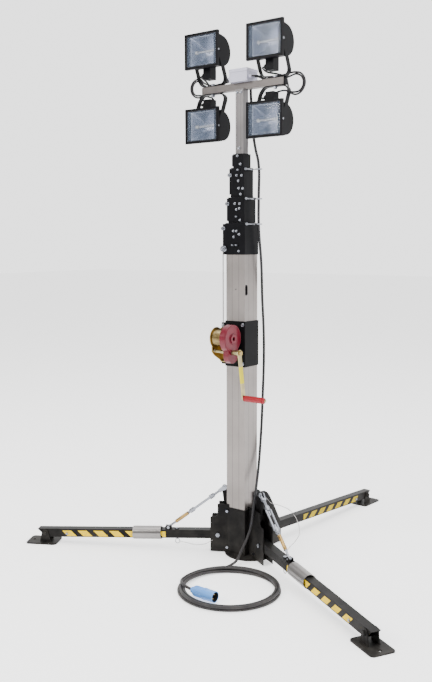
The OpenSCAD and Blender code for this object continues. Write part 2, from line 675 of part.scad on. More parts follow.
// ---------------------------------------------------------------- cables
// one lamp's lead: from the box's side, in a loop at the bar's end, to the lamp's terminal gland
function lead_pts(s, up) = let(
    z0 = bar_z + bar_w + 20, xg = s*lamp_x - 38,
    yg = tilt_y - tilt_back + lamp_d - 64,
    zg = up ? bar_c + lamp_up - lamp_h/2 - 22 : bar_c - lamp_down + lamp_h/2 + 22)
    up ? concat([[s*62, -12, z0], [s*72, -10, z0], [s*88, 34, z0 - 2],
            [s*(lamp_x + 20), 44, z0 - 4], [s*(bar_half + 23), 38, z0 + 2],
            [s*(bar_half + 66), 36, z0 - 13], [s*(bar_half + 75), 36, z0 - 53],
            [s*(bar_half + 46), 40, z0 - 87], [s*(bar_half + 2), 50, z0 - 79],
            [s*(bar_half - 15), 56, z0 - 41]],
            s > 0 ? [[lamp_x + 12, 60, z0 - 5], [xg - 14, 48, z0 + 6]]
                  : [[-bar_half, 60, z0 - 11], [xg - 22, 44, z0 + 11]], [[xg - 8, yg, zg]])
       : concat([[s*62, 12, z0], [s*72, 14, z0 - 1], [s*84, 46, z0 - 10], [s*150, 44, z0 - 15],
            [s*(bar_half - 2), 44, z0 - 12], [s*(bar_half + 32), 38, z0 - 8],
            [s*(bar_half + 61), 36, z0 - 23], [s*(bar_half + 66), 36, z0 - 49],
            [s*(bar_half + 46), 36, z0 - 73]],
            s > 0 ? [[bar_half + 14, 37, z0 - 81], [lamp_x + 20, 42, z0 - 68],
                     [xg - 10, 50, bar_z - 26]]
                  : [[-bar_half - 22, 44, z0 - 81], [xg - 22, 46, bar_z - 29]],
            [[xg - 8, yg, zg]]);

module lamp_leads() {
    color("#161616") for (s = [-1, 1]) for (up = [true, false]) chain(lead_pts(s, up), lead_d);
}

// thin wires from the hub to the pull pins: reach along the leg, offset and height of each point
low_wire = [[cheek_r - 12, side + cheek_t + 4, 60], [cheek_r + 20, 34, 42],
    [cheek_r + 70, 33, 34], [pin_r - 90, 30, 40], [pin_r - 52, 24, 44]];
high_wire = [[eye_r + 12, 18, eye_z - 9], [198, 36, 283], [280, 37, 292], [356, 36, 280],
    [403, 35, 228], [382, 34, 184], [pin_r - 74, 26, 106]];
module lanyard(az, wire) { color("#b8b8b8") leg_frame(az) chain(wire, 2.4); }
module lanyard_1() { lanyard(leg_az1, low_wire); }
module lanyard_2() { lanyard(leg_az2, high_wire); }

module cable_drop() { color("#161616") chain(drop_pts, cable_d); }
module supply_cable() { color("#161616") chain(cable_pts, cable_d); }

module cable_coil() {
    color("#161616") translate([coil_x, coil_y, 0]) rotate_extrude()
        translate([coil_r - 1.4*cable_d, 0]) square([2.8*cable_d, coil_h]);
}

module plug() {
    color("#6aa8e8") translate(plug_at) rotate([0, 90, plug_az]) {
        cylinder(d = 26, h = 16);
        translate([0, 0, 14]) cylinder(d = 40, h = 50);
        translate([0, 0, 62]) cylinder(d = 48, h = 12);
        translate([0, 0, 72]) difference() {
            cylinder(d = 46, h = plug_l - 72);
            translate([0, 0, 12]) cylinder(d = 40, h = 100);
        }
        for (a = [0, 120, 240]) rotate([0, 0, a]) translate([10, 0, 80])
            cylinder(d = 5, h = plug_l - 92);
    }
}

// ---------------------------------------------------------------- output
mast_tube();
hub();
hub_bolts();
winch_plate();
winch_frame();
winch_cover();
lift_rope();
collar_1();
guide_ring_1();
winch_drum();
crank_arm();
crank_grip();
stage_2();
collar_2();
guide_ring_2();
stage_3();
collar_3();
guide_ring_3();
stage_4();
collar_4();
stage_5();
crossbar();
junction_box();
stirrup_1();
stirrup_2();
stirrup_3();
stirrup_4();
lamp_1();
lamp_2();
lamp_3();
lamp_4();
glass_1();
glass_2();
glass_3();
glass_4();
leg_1();
leg_2();
leg_3();
foot_1();
foot_2();
foot_3();
sleeve_1();
sleeve_2();
leg_pin_1();
leg_pin_2();
strut_1();
strut_2();
buckle_1();
buckle_2();
lanyard_1();
lanyard_2();
lamp_leads();
cable_drop();
supply_cable();
cable_coil();
plug();
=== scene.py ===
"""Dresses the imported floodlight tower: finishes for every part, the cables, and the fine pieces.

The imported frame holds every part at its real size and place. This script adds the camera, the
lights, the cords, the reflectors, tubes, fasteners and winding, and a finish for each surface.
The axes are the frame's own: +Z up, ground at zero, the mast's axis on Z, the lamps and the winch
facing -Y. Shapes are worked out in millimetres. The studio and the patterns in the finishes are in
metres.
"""
from __future__ import annotations

import json
import logging
import math
from dataclasses import dataclass, field
from enum import Enum
from typing import Any, Iterable, Optional, Sequence

import bpy
import numpy as np
from mathutils import Matrix, Vector

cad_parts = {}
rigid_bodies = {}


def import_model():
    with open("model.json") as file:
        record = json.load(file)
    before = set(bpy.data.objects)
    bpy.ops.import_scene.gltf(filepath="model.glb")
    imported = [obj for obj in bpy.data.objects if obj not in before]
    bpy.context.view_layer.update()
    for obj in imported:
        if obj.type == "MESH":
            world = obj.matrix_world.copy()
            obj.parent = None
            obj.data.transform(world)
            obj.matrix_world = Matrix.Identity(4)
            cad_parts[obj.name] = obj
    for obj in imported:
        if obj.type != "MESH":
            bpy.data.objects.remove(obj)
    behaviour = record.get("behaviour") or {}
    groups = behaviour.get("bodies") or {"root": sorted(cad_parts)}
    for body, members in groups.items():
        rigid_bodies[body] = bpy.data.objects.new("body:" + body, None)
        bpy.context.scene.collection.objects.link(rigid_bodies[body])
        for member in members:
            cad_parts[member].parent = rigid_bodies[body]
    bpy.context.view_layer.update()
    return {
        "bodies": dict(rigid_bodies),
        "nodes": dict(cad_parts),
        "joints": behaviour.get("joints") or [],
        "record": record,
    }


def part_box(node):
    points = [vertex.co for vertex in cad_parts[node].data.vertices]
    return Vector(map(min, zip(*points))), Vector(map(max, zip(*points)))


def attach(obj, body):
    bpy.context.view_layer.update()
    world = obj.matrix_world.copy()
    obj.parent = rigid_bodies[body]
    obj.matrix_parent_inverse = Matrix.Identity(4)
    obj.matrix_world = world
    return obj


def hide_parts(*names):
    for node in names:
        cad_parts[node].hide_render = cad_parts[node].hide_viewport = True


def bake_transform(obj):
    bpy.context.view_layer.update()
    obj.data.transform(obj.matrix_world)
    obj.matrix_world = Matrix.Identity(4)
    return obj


log = logging.getLogger("tower")

Array = np.ndarray
Colour = tuple[float, float, float]
Point = Sequence[float]
# A millimetre, in metres.
MM = 0.001
# The side that the lamps and the winch face.
FRONT = (0, -1, 0)
# Where the legs' centre lines meet, and each leg's azimuth in degrees from +X.
HUB = (36.0, 15.0)
LEG_AZIMUTHS = (207.5, 330.0, 85.0)
# A rope's strands, in rope diameters: the length of one turn and the depth between them.
STRAND_LAY = 7.0
STRAND_GROOVE = 0.09
# Dust, and the share of it that is lost in each metre of height.
DUST_COLOUR = (0.42, 0.38, 0.33)
DUST_FADE = 3.5


# ---------------------------------------------------------------- shapes
def unit(vector: Point) -> Array:
    """Returns the vector at length one."""
    vector = np.asarray(vector, float)
    return vector / np.linalg.norm(vector)


def across(axis: Point) -> tuple[Array, Array]:
    """Two unit vectors square to an axis and to each other.

    Args:
        axis: any direction.

    Returns:
        The pair that makes a right-handed set with the axis as its third.
    """
    axis = unit(axis)
    helper = np.array([0.0, 0.0, 1.0]) if abs(axis[2]) < 0.9 else np.array([1.0, 0.0, 0.0])
    first = unit(np.cross(helper, axis))
    return first, np.cross(axis, first)


@dataclass
class Shell:
    """Vertices in millimetres with quads and triangles over them."""

    points: Array
    faces: list[Array]

    @classmethod
    def from_grid(cls, grid: Array, around: bool = True, loop: bool = False,
                  ends: bool = True) -> "Shell":
        """Joins a grid of points into a surface.

        Args:
            grid: points of shape (rows, columns, 3).
            around: whether the last column joins the first.
            loop: whether the last row joins the first.
            ends: whether a fan of triangles closes the first and the last row.

        Returns:
            The surface, its closed form turned so that faces point outwards.
        """
        rows, columns = grid.shape[:2]
        index = np.arange(rows * columns).reshape(rows, columns)
        wide = np.hstack([index, index[:, :1]]) if around else index
        tall = np.vstack([wide, wide[:1]]) if loop else wide
        quads = np.stack([tall[:-1, :-1], tall[:-1, 1:], tall[1:, 1:], tall[1:, :-1]], -1)
        points = grid.reshape(-1, 3)
        faces = [quads.reshape(-1, 4)]
        if ends and around and not loop:
            points = np.vstack([points, grid[0].mean(0), grid[-1].mean(0)])
            first, last = wide[0], wide[-1]
            low = np.full(columns, rows * columns)
            faces.append(np.stack([first[1:], first[:-1], low], -1))
            faces.append(np.stack([last[:-1], last[1:], low + 1], -1))
        shell = cls(points, faces)
        if around and (ends or loop):
            shell.turn_outwards()
        return shell

    def turn_outwards(self) -> None:
        """Flips every face if the enclosed volume, summed over tetrahedra, is negative."""
        centre = self.points.mean(0)
        volume = 0.0
        for faces in self.faces:
            corner = self.points[faces] - centre
            for k in range(1, faces.shape[1] - 1):
                cross = np.cross(corner[:, k], corner[:, k + 1])
                volume += float((corner[:, 0] * cross).sum())
        if volume < 0:
            self.faces = [faces[:, ::-1] for faces in self.faces]

    @classmethod
    def joined(cls, shells: Iterable["Shell"]) -> "Shell":
        """Several shells as one, side by side."""
        points: list[Array] = []
        faces: list[Array] = []
        count = 0
        for shell in shells:
            points.append(shell.points)
            faces += [part + count for part in shell.faces]
            count += len(shell.points)
        return cls(np.vstack(points), faces)


def turned(base: Point, axis: Point, along: Array, radius: Array, sides: int = 32,
           flats: int = 0, hexness: Optional[Array] = None, ribs: int = 0,
           rib: float = 0.0) -> Shell:
    """A turned shape: each point stands at a distance along the axis and a radius from it.

    The radius of a row may swell to a polygon: it is divided by the cosine of the angle to
    the nearest flat's middle. Ribs add a height times the square of a cosine that runs once
    through a half turn for each rib.

    Args:
        base: the axis's starting point.
        axis: its direction.
        along: distances along it, one for each row.
        radius: radii, one for each row.
        sides: points around.
        flats: number of flats of the polygon, or none.
        hexness: 0 for a round row and 1 for a polygon, one for each row.
        ribs: number of ribs around.
        rib: their height.

    Returns:
        The closed shell.
    """
    first, second = across(axis)
    angle = np.linspace(0, 2 * math.pi, sides, endpoint=False)
    swell = np.ones((len(along), sides))
    if flats:
        part = 2 * math.pi / flats
        off = (angle + part / 2) % part - part / 2
        corner = 1 / np.cos(off)
        weight = np.ones(len(along)) if hexness is None else np.asarray(hexness, float)
        swell = 1 + weight[:, None] * (corner[None, :] - 1)
    reach = np.asarray(radius, float)[:, None] * swell
    if ribs:
        reach = reach + rib * np.cos(ribs * angle / 2)[None, :] ** 2
    ring = np.cos(angle)[:, None] * first + np.sin(angle)[:, None] * second
    rows = np.asarray(base, float) + np.asarray(along, float)[:, None] * unit(axis)
    return Shell.from_grid(rows[:, None, :] + reach[:, :, None] * ring[None, :, :])


def smooth_route(points: Sequence[Point], step: float) -> Array:
    """A smooth line through points, each stretch a cubic with the tangents of its neighbours.

    The tangent at a point is the mean of the two chords' directions weighted by the other
    chord's length, so tight points don't swing wide.

    Args:
        points: the points that the line passes through.
        step: the rough spacing of the result.

    Returns:
        Points at even spacing along the line.
    """
    knots = np.asarray(points, float)
    chord = np.diff(knots, axis=0)
    length = np.linalg.norm(chord, axis=1)
    slope = chord / length[:, None]
    tangent = np.vstack([slope[:1], np.zeros((len(knots) - 2, 3)), slope[-1:]])
    before, after = length[:-1, None], length[1:, None]
    tangent[1:-1] = (slope[:-1] * after + slope[1:] * before) / (before + after)
    dense: list[Array] = []
    for k, span in enumerate(length):
        t = np.linspace(0, 1, max(8, int(span / step) * 4), endpoint=False)[:, None]
        dense.append((2 * t**3 - 3 * t**2 + 1) * knots[k] + (t**3 - 2 * t**2 + t) * span * tangent[k]
                     + (3 * t**2 - 2 * t**3) * knots[k + 1] + (t**3 - t**2) * span * tangent[k + 1])
    line = np.vstack(dense + [knots[-1:]])
    run = np.concatenate([[0], np.cumsum(np.linalg.norm(np.diff(line, axis=0), axis=1))])
    even = np.linspace(0, run[-1], max(4, int(run[-1] / step)))
    return np.stack([np.interp(even, run, line[:, k]) for k in range(3)], -1)


def line_length(line: Array) -> float:
    """Length of a line through its points."""
    return float(np.linalg.norm(np.diff(line, axis=0), axis=1).sum())


def swept(line: Array, radius: float, sides: int = 12, loop: bool = False,
          strands: int = 0, lay: float = 0.0, groove: float = 0.0) -> Shell:
    """A round section carried along a line.

    The section's frame turns as little as it can from ring to ring. A rope's strands add a
    groove whose angle grows with the distance along the line: the radius is its full value
    less a depth times one minus the sine of the strands' angle, made positive.

    Args:
        line: the centreline.
        radius: the section's radius.
        sides: points around.
        loop: whether the line is closed.
        strands: strands of a rope, or none.
        lay: length over which a strand goes once round.
        groove: depth between the strands.

    Returns:
        The closed shell.
    """
    ahead = np.gradient(line, axis=0)
    if loop:
        ahead = np.roll(line, -1, axis=0) - np.roll(line, 1, axis=0)
    ahead /= np.linalg.norm(ahead, axis=1)[:, None]
    side = np.zeros_like(line)
    side[0] = across(ahead[0])[0]
    for k in range(1, len(line)):
        side[k] = unit(side[k - 1] - ahead[k] * float(side[k - 1] @ ahead[k]))
    over = np.cross(ahead, side)
    angle = np.linspace(0, 2 * math.pi, sides, endpoint=False)
    reach = np.full((len(line), sides), radius)
    if strands:
        run = np.concatenate([[0], np.cumsum(np.linalg.norm(np.diff(line, axis=0), axis=1))])
        twist = strands * (angle[None, :] + 2 * math.pi * run[:, None] / lay) / 2
        reach = radius - groove * (1 - np.abs(np.sin(twist)))
    ring = (np.cos(angle)[None, :, None] * side[:, None, :]
            + np.sin(angle)[None, :, None] * over[:, None, :])
    return Shell.from_grid(line[:, None, :] + reach[:, :, None] * ring, loop=loop, ends=not loop)


def hoop(centre: Point, radius: float, thick: float, count: int, sides: int) -> Shell:
    """A ring round the X direction: a round section carried along a circle.

    Args:
        centre: the circle's centre.
        radius: its radius.
        thick: the section's radius.
        count: points round the circle.
        sides: points round the section.

    Returns:
        The closed shell.
    """
    turn = np.linspace(0, 2 * math.pi, count, endpoint=False)
    circle = np.stack([np.zeros(count), np.cos(turn), np.sin(turn)], -1)
    return swept(np.asarray(centre, float) + radius * circle, thick, sides, loop=True)


def superellipse(power: float, count: int) -> tuple[Array, Array]:
    """A square with round corners: the cosine and the sine of the angle, each raised to two
    over the power with its sign kept.

    Args:
        power: the higher it is, the tighter the corners.
        count: points around.

    Returns:
        The two coordinates, each from -1 to 1.
    """
    turn = np.linspace(0, 2 * math.pi, count, endpoint=False)
    wave = (np.cos(turn), np.sin(turn))
    first, second = (np.sign(part) * np.abs(part) ** (2.0 / power) for part in wave)
    return first, second


def level_frame(azimuth: float) -> tuple[Array, Array]:
    """The level direction at an azimuth in degrees, and the one to its left."""
    turn = math.radians(azimuth)
    ahead = np.array([math.cos(turn), math.sin(turn), 0.0])
    return ahead, np.array([-ahead[1], ahead[0], 0.0])


def beside_leg(azimuth: float, reach: float, aside: float, height: float) -> Array:
    """A point at a reach from the hub along an azimuth, off to its left, and at a height."""
    ahead, side = level_frame(azimuth)
    return np.array([*HUB, height]) + reach * ahead + aside * side


def fastener(at: Point, axis: Point, flats: float = 13.0, height: float = 5.5,
             washer: float = 16.0) -> Shell:
    """A hexagon bolt's head on its washer, with the head's corners chamfered."""
    half = flats / 2
    along = np.array([-0.5, 1.4, 1.6, 1.6, height + 0.6, height + 1.6, height + 1.2])
    radius = np.array([washer / 2, washer / 2, washer / 2 - 0.5, half, half, half * 0.9, half * 0.7])
    hexness = np.array([0, 0, 0, 1, 1, 0, 0])
    return turned(at, axis, along, radius, 24, 6, hexness)


# ---------------------------------------------------------------- shader maths
class Socket:
    """An output socket with arithmetic: each operation adds one Math node."""

    def __init__(self, shader: "Shader", socket: Any) -> None:
        """Wraps a node's output."""
        self.shader = shader
        self.socket = socket

    def _math(self, kind: str, first: Any, second: Any = None, clamp: bool = False) -> "Socket":
        """Adds a Math node of one kind on one or two values."""
        values = {0: first} if second is None else {0: first, 1: second}
        return self.shader.node("ShaderNodeMath", {"operation": kind, "use_clamp": clamp}, values)

    def __add__(self, other: Any) -> "Socket":
        """Sum."""
        return self._math("ADD", self, other)

    __radd__ = __add__

    def __sub__(self, other: Any) -> "Socket":
        """Difference."""
        return self._math("SUBTRACT", self, other)

    def __rsub__(self, other: Any) -> "Socket":
        """Difference the other way."""
        return self._math("SUBTRACT", other, self)

    def __mul__(self, other: Any) -> "Socket":
        """Product."""
        return self._math("MULTIPLY", self, other)

    __rmul__ = __mul__

    def __truediv__(self, other: Any) -> "Socket":
        """Quotient."""
        return self._math("DIVIDE", self, other)

    def __abs__(self) -> "Socket":
        """Size without sign."""
        return self._math("ABSOLUTE", self)

    def above(self, level: float) -> "Socket":
        """1 where the value is over the level, else 0."""
        return self._math("GREATER_THAN", self, level)

    def below(self, level: float) -> "Socket":
        """1 where the value is under the level, else 0."""
        return self._math("LESS_THAN", self, level)

    def fraction(self) -> "Socket":
        """What is over the last whole number."""
        return self._math("FRACT", self)

    def clamped(self) -> "Socket":
        """The value held from 0 to 1."""
        return self._math("ADD", self, 0.0, clamp=True)


class Shader:
    """One material's node tree, with one method that adds any node."""

    def __init__(self, name: str) -> None:
        """Starts an empty material with a Principled surface."""
        self.material = bpy.data.materials.new(name)
        self.material.use_nodes = True
        self.tree = self.material.node_tree
        self.surface = self.tree.nodes["Principled BSDF"]
        self._place: Optional[Socket] = None

    def node(self, kind: str, settings: Optional[dict[str, Any]] = None,
             values: Optional[dict[Any, Any]] = None, output: Any = 0) -> Socket:
        """Adds a node.

        Args:
            kind: its type.
            settings: its own settings, made first; "stops" sets a ramp's stops.
            values: numbers, colours or sockets for its inputs, by name or number.
            output: the output that is returned.

        Returns:
            The wrapped output.
        """
        made = self.tree.nodes.new(kind)
        for key, value in (settings or {}).items():
            if key == "stops":
                self.stops(made.color_ramp, value)
            else:
                setattr(made, key, value)
        for key, value in (values or {}).items():
            self.feed(made.inputs[key], value)
        return Socket(self, made.outputs[output])

    @staticmethod
    def stops(ramp: Any, stops: Sequence[tuple[float, float]]) -> None:
        """Sets a ramp's grey stops as pairs of place and value."""
        while len(ramp.elements) < len(stops):
            ramp.elements.new(0.5)
        for element, (place, value) in zip(ramp.elements, stops):
            element.position = place
            element.color = (value, value, value, 1)

    def feed(self, target: Any, value: Any) -> None:
        """Links a socket to an input, or sets the input's own value."""
        if isinstance(value, Socket):
            self.tree.links.new(value.socket, target)
        elif isinstance(value, (tuple, list)) and target.type == "RGBA" and len(value) == 3:
            target.default_value = (*value, 1.0)
        else:
            target.default_value = value

    def place(self) -> Socket:
        """The point's place on its own object."""
        if self._place is None:
            self._place = self.node("ShaderNodeTexCoord", output="Object")
        return self._place

    def part(self, axis: int) -> Socket:
        """One part of the place: 0, 1 or 2 for X, Y or Z."""
        return self.node("ShaderNodeSeparateXYZ", None, {0: self.place()}, axis)

    def along(self, base: Point, direction: Point) -> Socket:
        """Distance of the place from a base along a unit direction, in metres."""
        offset = self.node("ShaderNodeVectorMath", {"operation": "SUBTRACT"},
                           {0: self.place(), 1: tuple(float(v) for v in base)})
        return self.node("ShaderNodeVectorMath", {"operation": "DOT_PRODUCT"},
                         {0: offset, 1: tuple(float(v) for v in direction)}, "Value")

    def noise(self, scale: float, detail: float = 3.0, stretch: Point = (1, 1, 1),
              roughness: float = 0.55) -> Socket:
        """Noise from 0 to 1 over the place, its grain stretched along each axis."""
        spot = self.node("ShaderNodeMapping", {"vector_type": "POINT"},
                         {0: self.place(), "Scale": tuple(stretch)})
        return self.node("ShaderNodeTexNoise", None, {"Vector": spot, "Scale": scale,
                         "Detail": detail, "Roughness": roughness})

    def blend(self, factor: Any, first: Any, second: Any) -> Socket:
        """Colour between two colours."""
        made = self.tree.nodes.new("ShaderNodeMix")
        made.data_type = "RGBA"
        self.feed(made.inputs[0], factor)
        self.feed(made.inputs[6], first)
        self.feed(made.inputs[7], second)
        return Socket(self, made.outputs[2])

    def ramp(self, value: Socket, *stops: tuple[float, float]) -> Socket:
        """A value passed through grey stops."""
        return self.node("ShaderNodeValToRGB", {"stops": stops}, {0: value})

    def bump(self, height: Socket, strength: float, distance: float) -> None:
        """Feeds a height into the surface's normal."""
        made = self.node("ShaderNodeBump", None,
                         {"Strength": strength, "Distance": distance, "Height": height})
        self.feed(self.surface.inputs["Normal"], made)

    def set(self, **values: Any) -> None:
        """Feeds the surface's inputs, named with underscores for spaces."""
        for key, value in values.items():
            self.feed(self.surface.inputs[key.replace("_", " ")], value)


# ---------------------------------------------------------------- finishes
class Brush(Enum):
    """How a surface was worked: not at all, or brushed along an axis."""

    NONE = (1.0, 1.0, 1.0)
    UPRIGHT = (1.0, 1.0, 0.02)
    SIDEWAYS = (0.02, 1.0, 1.0)


@dataclass(frozen=True)
class Finish:
    """A painted, plated, moulded or drawn surface with its drift, grain and dust."""

    name: str
    colour: Colour
    rough: float = 0.45
    metal: float = 0.0
    coat: float = 0.0
    drift: float = 0.18
    drift_scale: float = 9.0
    grain: float = 420.0
    grain_depth: float = 0.00012
    brush: Brush = Brush.NONE
    scuffs: float = 0.0
    scuff_colour: Colour = (0.35, 0.33, 0.31)
    dust: float = 0.0
    specular: float = 0.5

    def base(self, shader: Shader) -> Socket:
        """The colour with its slow drift from darker to lighter.

        Args:
            shader: the material being made.

        Returns:
            The colour's socket.
        """
        dark = tuple(c * (1 - self.drift) for c in self.colour)
        light = tuple(min(1.0, c * (1 + self.drift)) for c in self.colour)
        cloud = shader.noise(self.drift_scale, 4.0)
        return shader.blend(shader.ramp(cloud, (0.3, 0.0), (0.7, 1.0)), dark, light)

    def tint(self, shader: Shader, colour: Socket) -> Socket:
        """Changes the colour where a finish has a pattern; plain finishes have none."""
        return colour

    def material(self) -> bpy.types.Material:
        """Builds the material.

        Returns:
            The material, with the drift and scuffs in its colour, the grain in its roughness
            and its normal.
        """
        shader = Shader(self.name)
        colour = self.tint(shader, self.base(shader))
        stretch = self.brush.value
        grain = shader.noise(self.grain, 2.0, stretch)
        rough: Any = self.rough + (grain - 0.5) * (0.35 * self.rough)
        if self.scuffs:
            marks = shader.noise(38.0, 8.0, stretch, 0.75)
            mask = shader.ramp(marks, (0.60, 0.0), (0.72, 1.0)) * self.scuffs
            colour = shader.blend(mask, colour, self.scuff_colour)
            rough = rough + mask * 0.15
        if self.dust:
            low = (1 - shader.part(2) * DUST_FADE).clamped()
            film = shader.ramp(shader.noise(16.0, 5.0), (0.35, 0.2), (0.75, 1.0))
            mask = film * low * self.dust
            colour = shader.blend(mask, colour, DUST_COLOUR)
            rough = rough + mask * 0.3
        shader.set(Base_Color=colour, Roughness=rough.clamped(), Metallic=self.metal,
                   Coat_Weight=self.coat, Specular_IOR_Level=self.specular)
        shader.bump(grain, 0.35, self.grain_depth)
        return shader.material


@dataclass(frozen=True)
class HazardPaint(Finish):
    """Black leg paint with a tape of slanting yellow stripes on both side faces."""

    pivot: tuple[float, float, float] = (0, 0, 0)
    outward: tuple[float, float, float] = (1, 0, 0)
    upward: tuple[float, float, float] = (0, 0, 1)
    sideways: tuple[float, float, float] = (0, 1, 0)
    start: float = 0.25
    end: float = 0.755
    pitch: float = 0.078
    share: float = 0.58
    tape_low: float = -0.0165
    tape_high: float = 0.0115
    side_face: float = 0.0195
    yellow: Colour = (0.78, 0.52, 0.0)

    def tint(self, shader: Shader, colour: Socket) -> Socket:
        """Lays the tape: where the outward distance less the height, over the pitch, has a
        fraction under the share, within the tape's ends and its height, on a side face."""
        outward = shader.along(self.pivot, self.outward)
        height = shader.along(self.pivot, self.upward)
        aside = abs(shader.along(self.pivot, self.sideways))
        stripe = ((outward - height) / self.pitch).fraction().below(self.share)
        ends = outward.above(self.start) * outward.below(self.end)
        band = height.above(self.tape_low) * height.below(self.tape_high)
        worn = shader.ramp(shader.noise(90.0, 6.0, roughness=0.7), (0.28, 0.55), (0.42, 1.0))
        mask = stripe * ends * band * aside.above(self.side_face) * worn
        return shader.blend(mask, colour, self.yellow)


@dataclass(frozen=True)
class Extrusion(Finish):
    """Drawn aluminium with two fine dark grooves down each face."""

    offset: float = 0.018
    half: float = 0.0008
    strength: float = 0.75
    groove: Colour = (0.05, 0.045, 0.042)

    def tint(self, shader: Shader, colour: Socket) -> Socket:
        """Darkens where the distance from the axis, along X or along Y, is within half a
        groove of its offset."""
        grooves = [abs(abs(shader.part(axis)) - self.offset).below(self.half) for axis in (0, 1)]
        mask = (grooves[0] + grooves[1]).clamped() * self.strength
        return shader.blend(mask, colour, self.groove)


@dataclass(frozen=True)
class CrankSteel(Finish):
    """Zinc-plated crank arm with a yellow sleeve of paint half way down it."""

    top: float = 0.89
    bottom: float = 0.815
    sleeve: Colour = (0.50, 0.42, 0.01)

    def tint(self, shader: Shader, colour: Socket) -> Socket:
        """Paints the band between two heights yellow."""
        height = shader.part(2)
        mask = height.below(self.top) * height.above(self.bottom)
        return shader.blend(mask, colour, self.sleeve)


@dataclass(frozen=True)
class PlugPlastic(Finish):
    """Blue moulded plug with brass pins, its mouth painted near-black past the floor as painted
    shade.
    """

    base_at: tuple[float, float, float] = (0, 0, 0)
    axis: tuple[float, float, float] = (1, 0, 0)
    mouth: float = 0.083
    bore: float = 0.0203
    pin_start: float = 0.0015
    pin_outer: float = 0.0132
    pin_inner: float = 0.0068
    brass: Colour = (0.72, 0.55, 0.25)

    def tint(self, shader: Shader, colour: Socket) -> Socket:
        """Paints shade near-black over what lies past the mouth's floor within the bore, and gilds
        the pins.
        """
        run = shader.along(self.base_at, self.axis)
        offset = shader.node("ShaderNodeVectorMath", {"operation": "SUBTRACT"},
                             {0: shader.place(), 1: self.base_at})
        reach = shader.node("ShaderNodeVectorMath", {"operation": "LENGTH"}, {0: offset}, "Value")
        square = reach * reach - run * run
        # Painted shade: past the mouth's floor and within the bore, the plug is painted near-black.
        mouth_shade = run.above(self.mouth) * square.below(self.bore**2)
        circle = square.below(self.pin_outer**2) * square.above(self.pin_inner**2)
        pins = run.above(self.mouth + self.pin_start) * circle
        dark = shader.blend(mouth_shade, colour, (0.02, 0.02, 0.025))
        return shader.blend(pins, dark, self.brass)


@dataclass(frozen=True)
class Pane:
    """Toughened glass: thin, faintly blue and almost clear."""

    name: str = "toughened_glass"
    colour: Colour = (0.30, 0.38, 0.52)
    cover: float = 0.05

    def material(self) -> bpy.types.Material:
        """Builds a glossy sheet that covers what is behind it by a small share, more where
        dust lies."""
        shader = Shader(self.name)
        film = shader.noise(22.0, 5.0)
        shader.set(Base_Color=self.colour, Roughness=0.06 + film * 0.06,
                   Alpha=self.cover + film * 0.08, Specular_IOR_Level=0.5, Coat_Weight=0.3)
        return shader.material


@dataclass(frozen=True)
class Mirror:
    """Hammered bright aluminium of a reflector."""

    name: str = "reflector_aluminium"
    colour: Colour = (0.33, 0.35, 0.42)

    def material(self) -> bpy.types.Material:
        """Builds the metal, its roughness from fine noise."""
        shader = Shader(self.name)
        shader.set(Base_Color=shader.blend(shader.noise(30.0, 3.0), self.colour,
                   tuple(c * 0.86 for c in self.colour)), Metallic=1.0,
                   Roughness=0.22 + shader.noise(300.0) * 0.12)
        shader.bump(shader.noise(260.0, 2.0), 0.4, 0.0004)
        return shader.material


ALUMINIUM = Extrusion("mast_aluminium", (0.235, 0.213, 0.202), 0.40, 0.8, drift=0.14,
                      drift_scale=5.0, grain=900.0, grain_depth=0.00008, brush=Brush.UPRIGHT,
                      scuffs=0.3, scuff_colour=(0.20, 0.185, 0.17))
STAGE = Extrusion("stage_aluminium", (0.14, 0.133, 0.135), 0.38, 0.8, drift=0.12, grain=900.0,
                  grain_depth=0.00008, brush=Brush.UPRIGHT, scuffs=0.3,
                  scuff_colour=(0.18, 0.17, 0.16), offset=0.008)
# Painted shade: the crossbar's aluminium is made far darker than the mast's, standing in for the
# shadow that lies on the bar.
BAR_WITH_PAINTED_SHADE = Finish("crossbar_aluminium_painted_shade", (0.10, 0.09, 0.087), 0.42, 0.75, drift=0.14, grain=900.0,
             grain_depth=0.00008, brush=Brush.SIDEWAYS, scuffs=0.25,
             scuff_colour=(0.22, 0.20, 0.19))
BLACK = Finish("black_powder_coat", (0.0035, 0.0035, 0.004), 0.45, drift=0.25, grain=700.0,
               grain_depth=0.0002, scuffs=0.10, scuff_colour=(0.04, 0.037, 0.034), dust=0.08,
               specular=0.06)
COLLAR = Finish("collar_powder_coat", (0.0035, 0.0035, 0.0045), 0.40, drift=0.25, grain=700.0,
                grain_depth=0.0002, scuffs=0.08, scuff_colour=(0.045, 0.045, 0.045), specular=0.06)
ENAMEL = Finish("lamp_enamel", (0.0035, 0.0035, 0.0045), 0.36, drift=0.3, grain=520.0,
                grain_depth=0.00018, scuffs=0.08, scuff_colour=(0.03, 0.024, 0.02), specular=0.06)
ZINC = Finish("bright_zinc", (0.25, 0.26, 0.29), 0.28, 1.0, drift=0.12, drift_scale=40.0,
              scuffs=0.15, scuff_colour=(0.45, 0.43, 0.40))
YELLOW_ZINC = Finish("yellow_zinc", (0.42, 0.31, 0.12), 0.30, 1.0, drift=0.28, drift_scale=30.0,
                     scuffs=0.2, scuff_colour=(0.35, 0.24, 0.14))
BRASS = Finish("lock_tube_brass", (0.34, 0.22, 0.08), 0.34, 1.0, drift=0.2, drift_scale=30.0)
RED_COVER = Finish("red_cover", (0.115, 0.002, 0.012), 0.36, coat=0.1, drift=0.15, specular=0.3,
                   grain=500.0, scuffs=0.15, scuff_colour=(0.20, 0.04, 0.045))
RED_GRIP = Finish("red_grip", (0.25, 0.003, 0.010), 0.36, coat=0.1, drift=0.10, specular=0.3)
GREY_BOX = Finish("box_plastic", (0.44, 0.43, 0.53), 0.42, drift=0.05, grain=600.0)
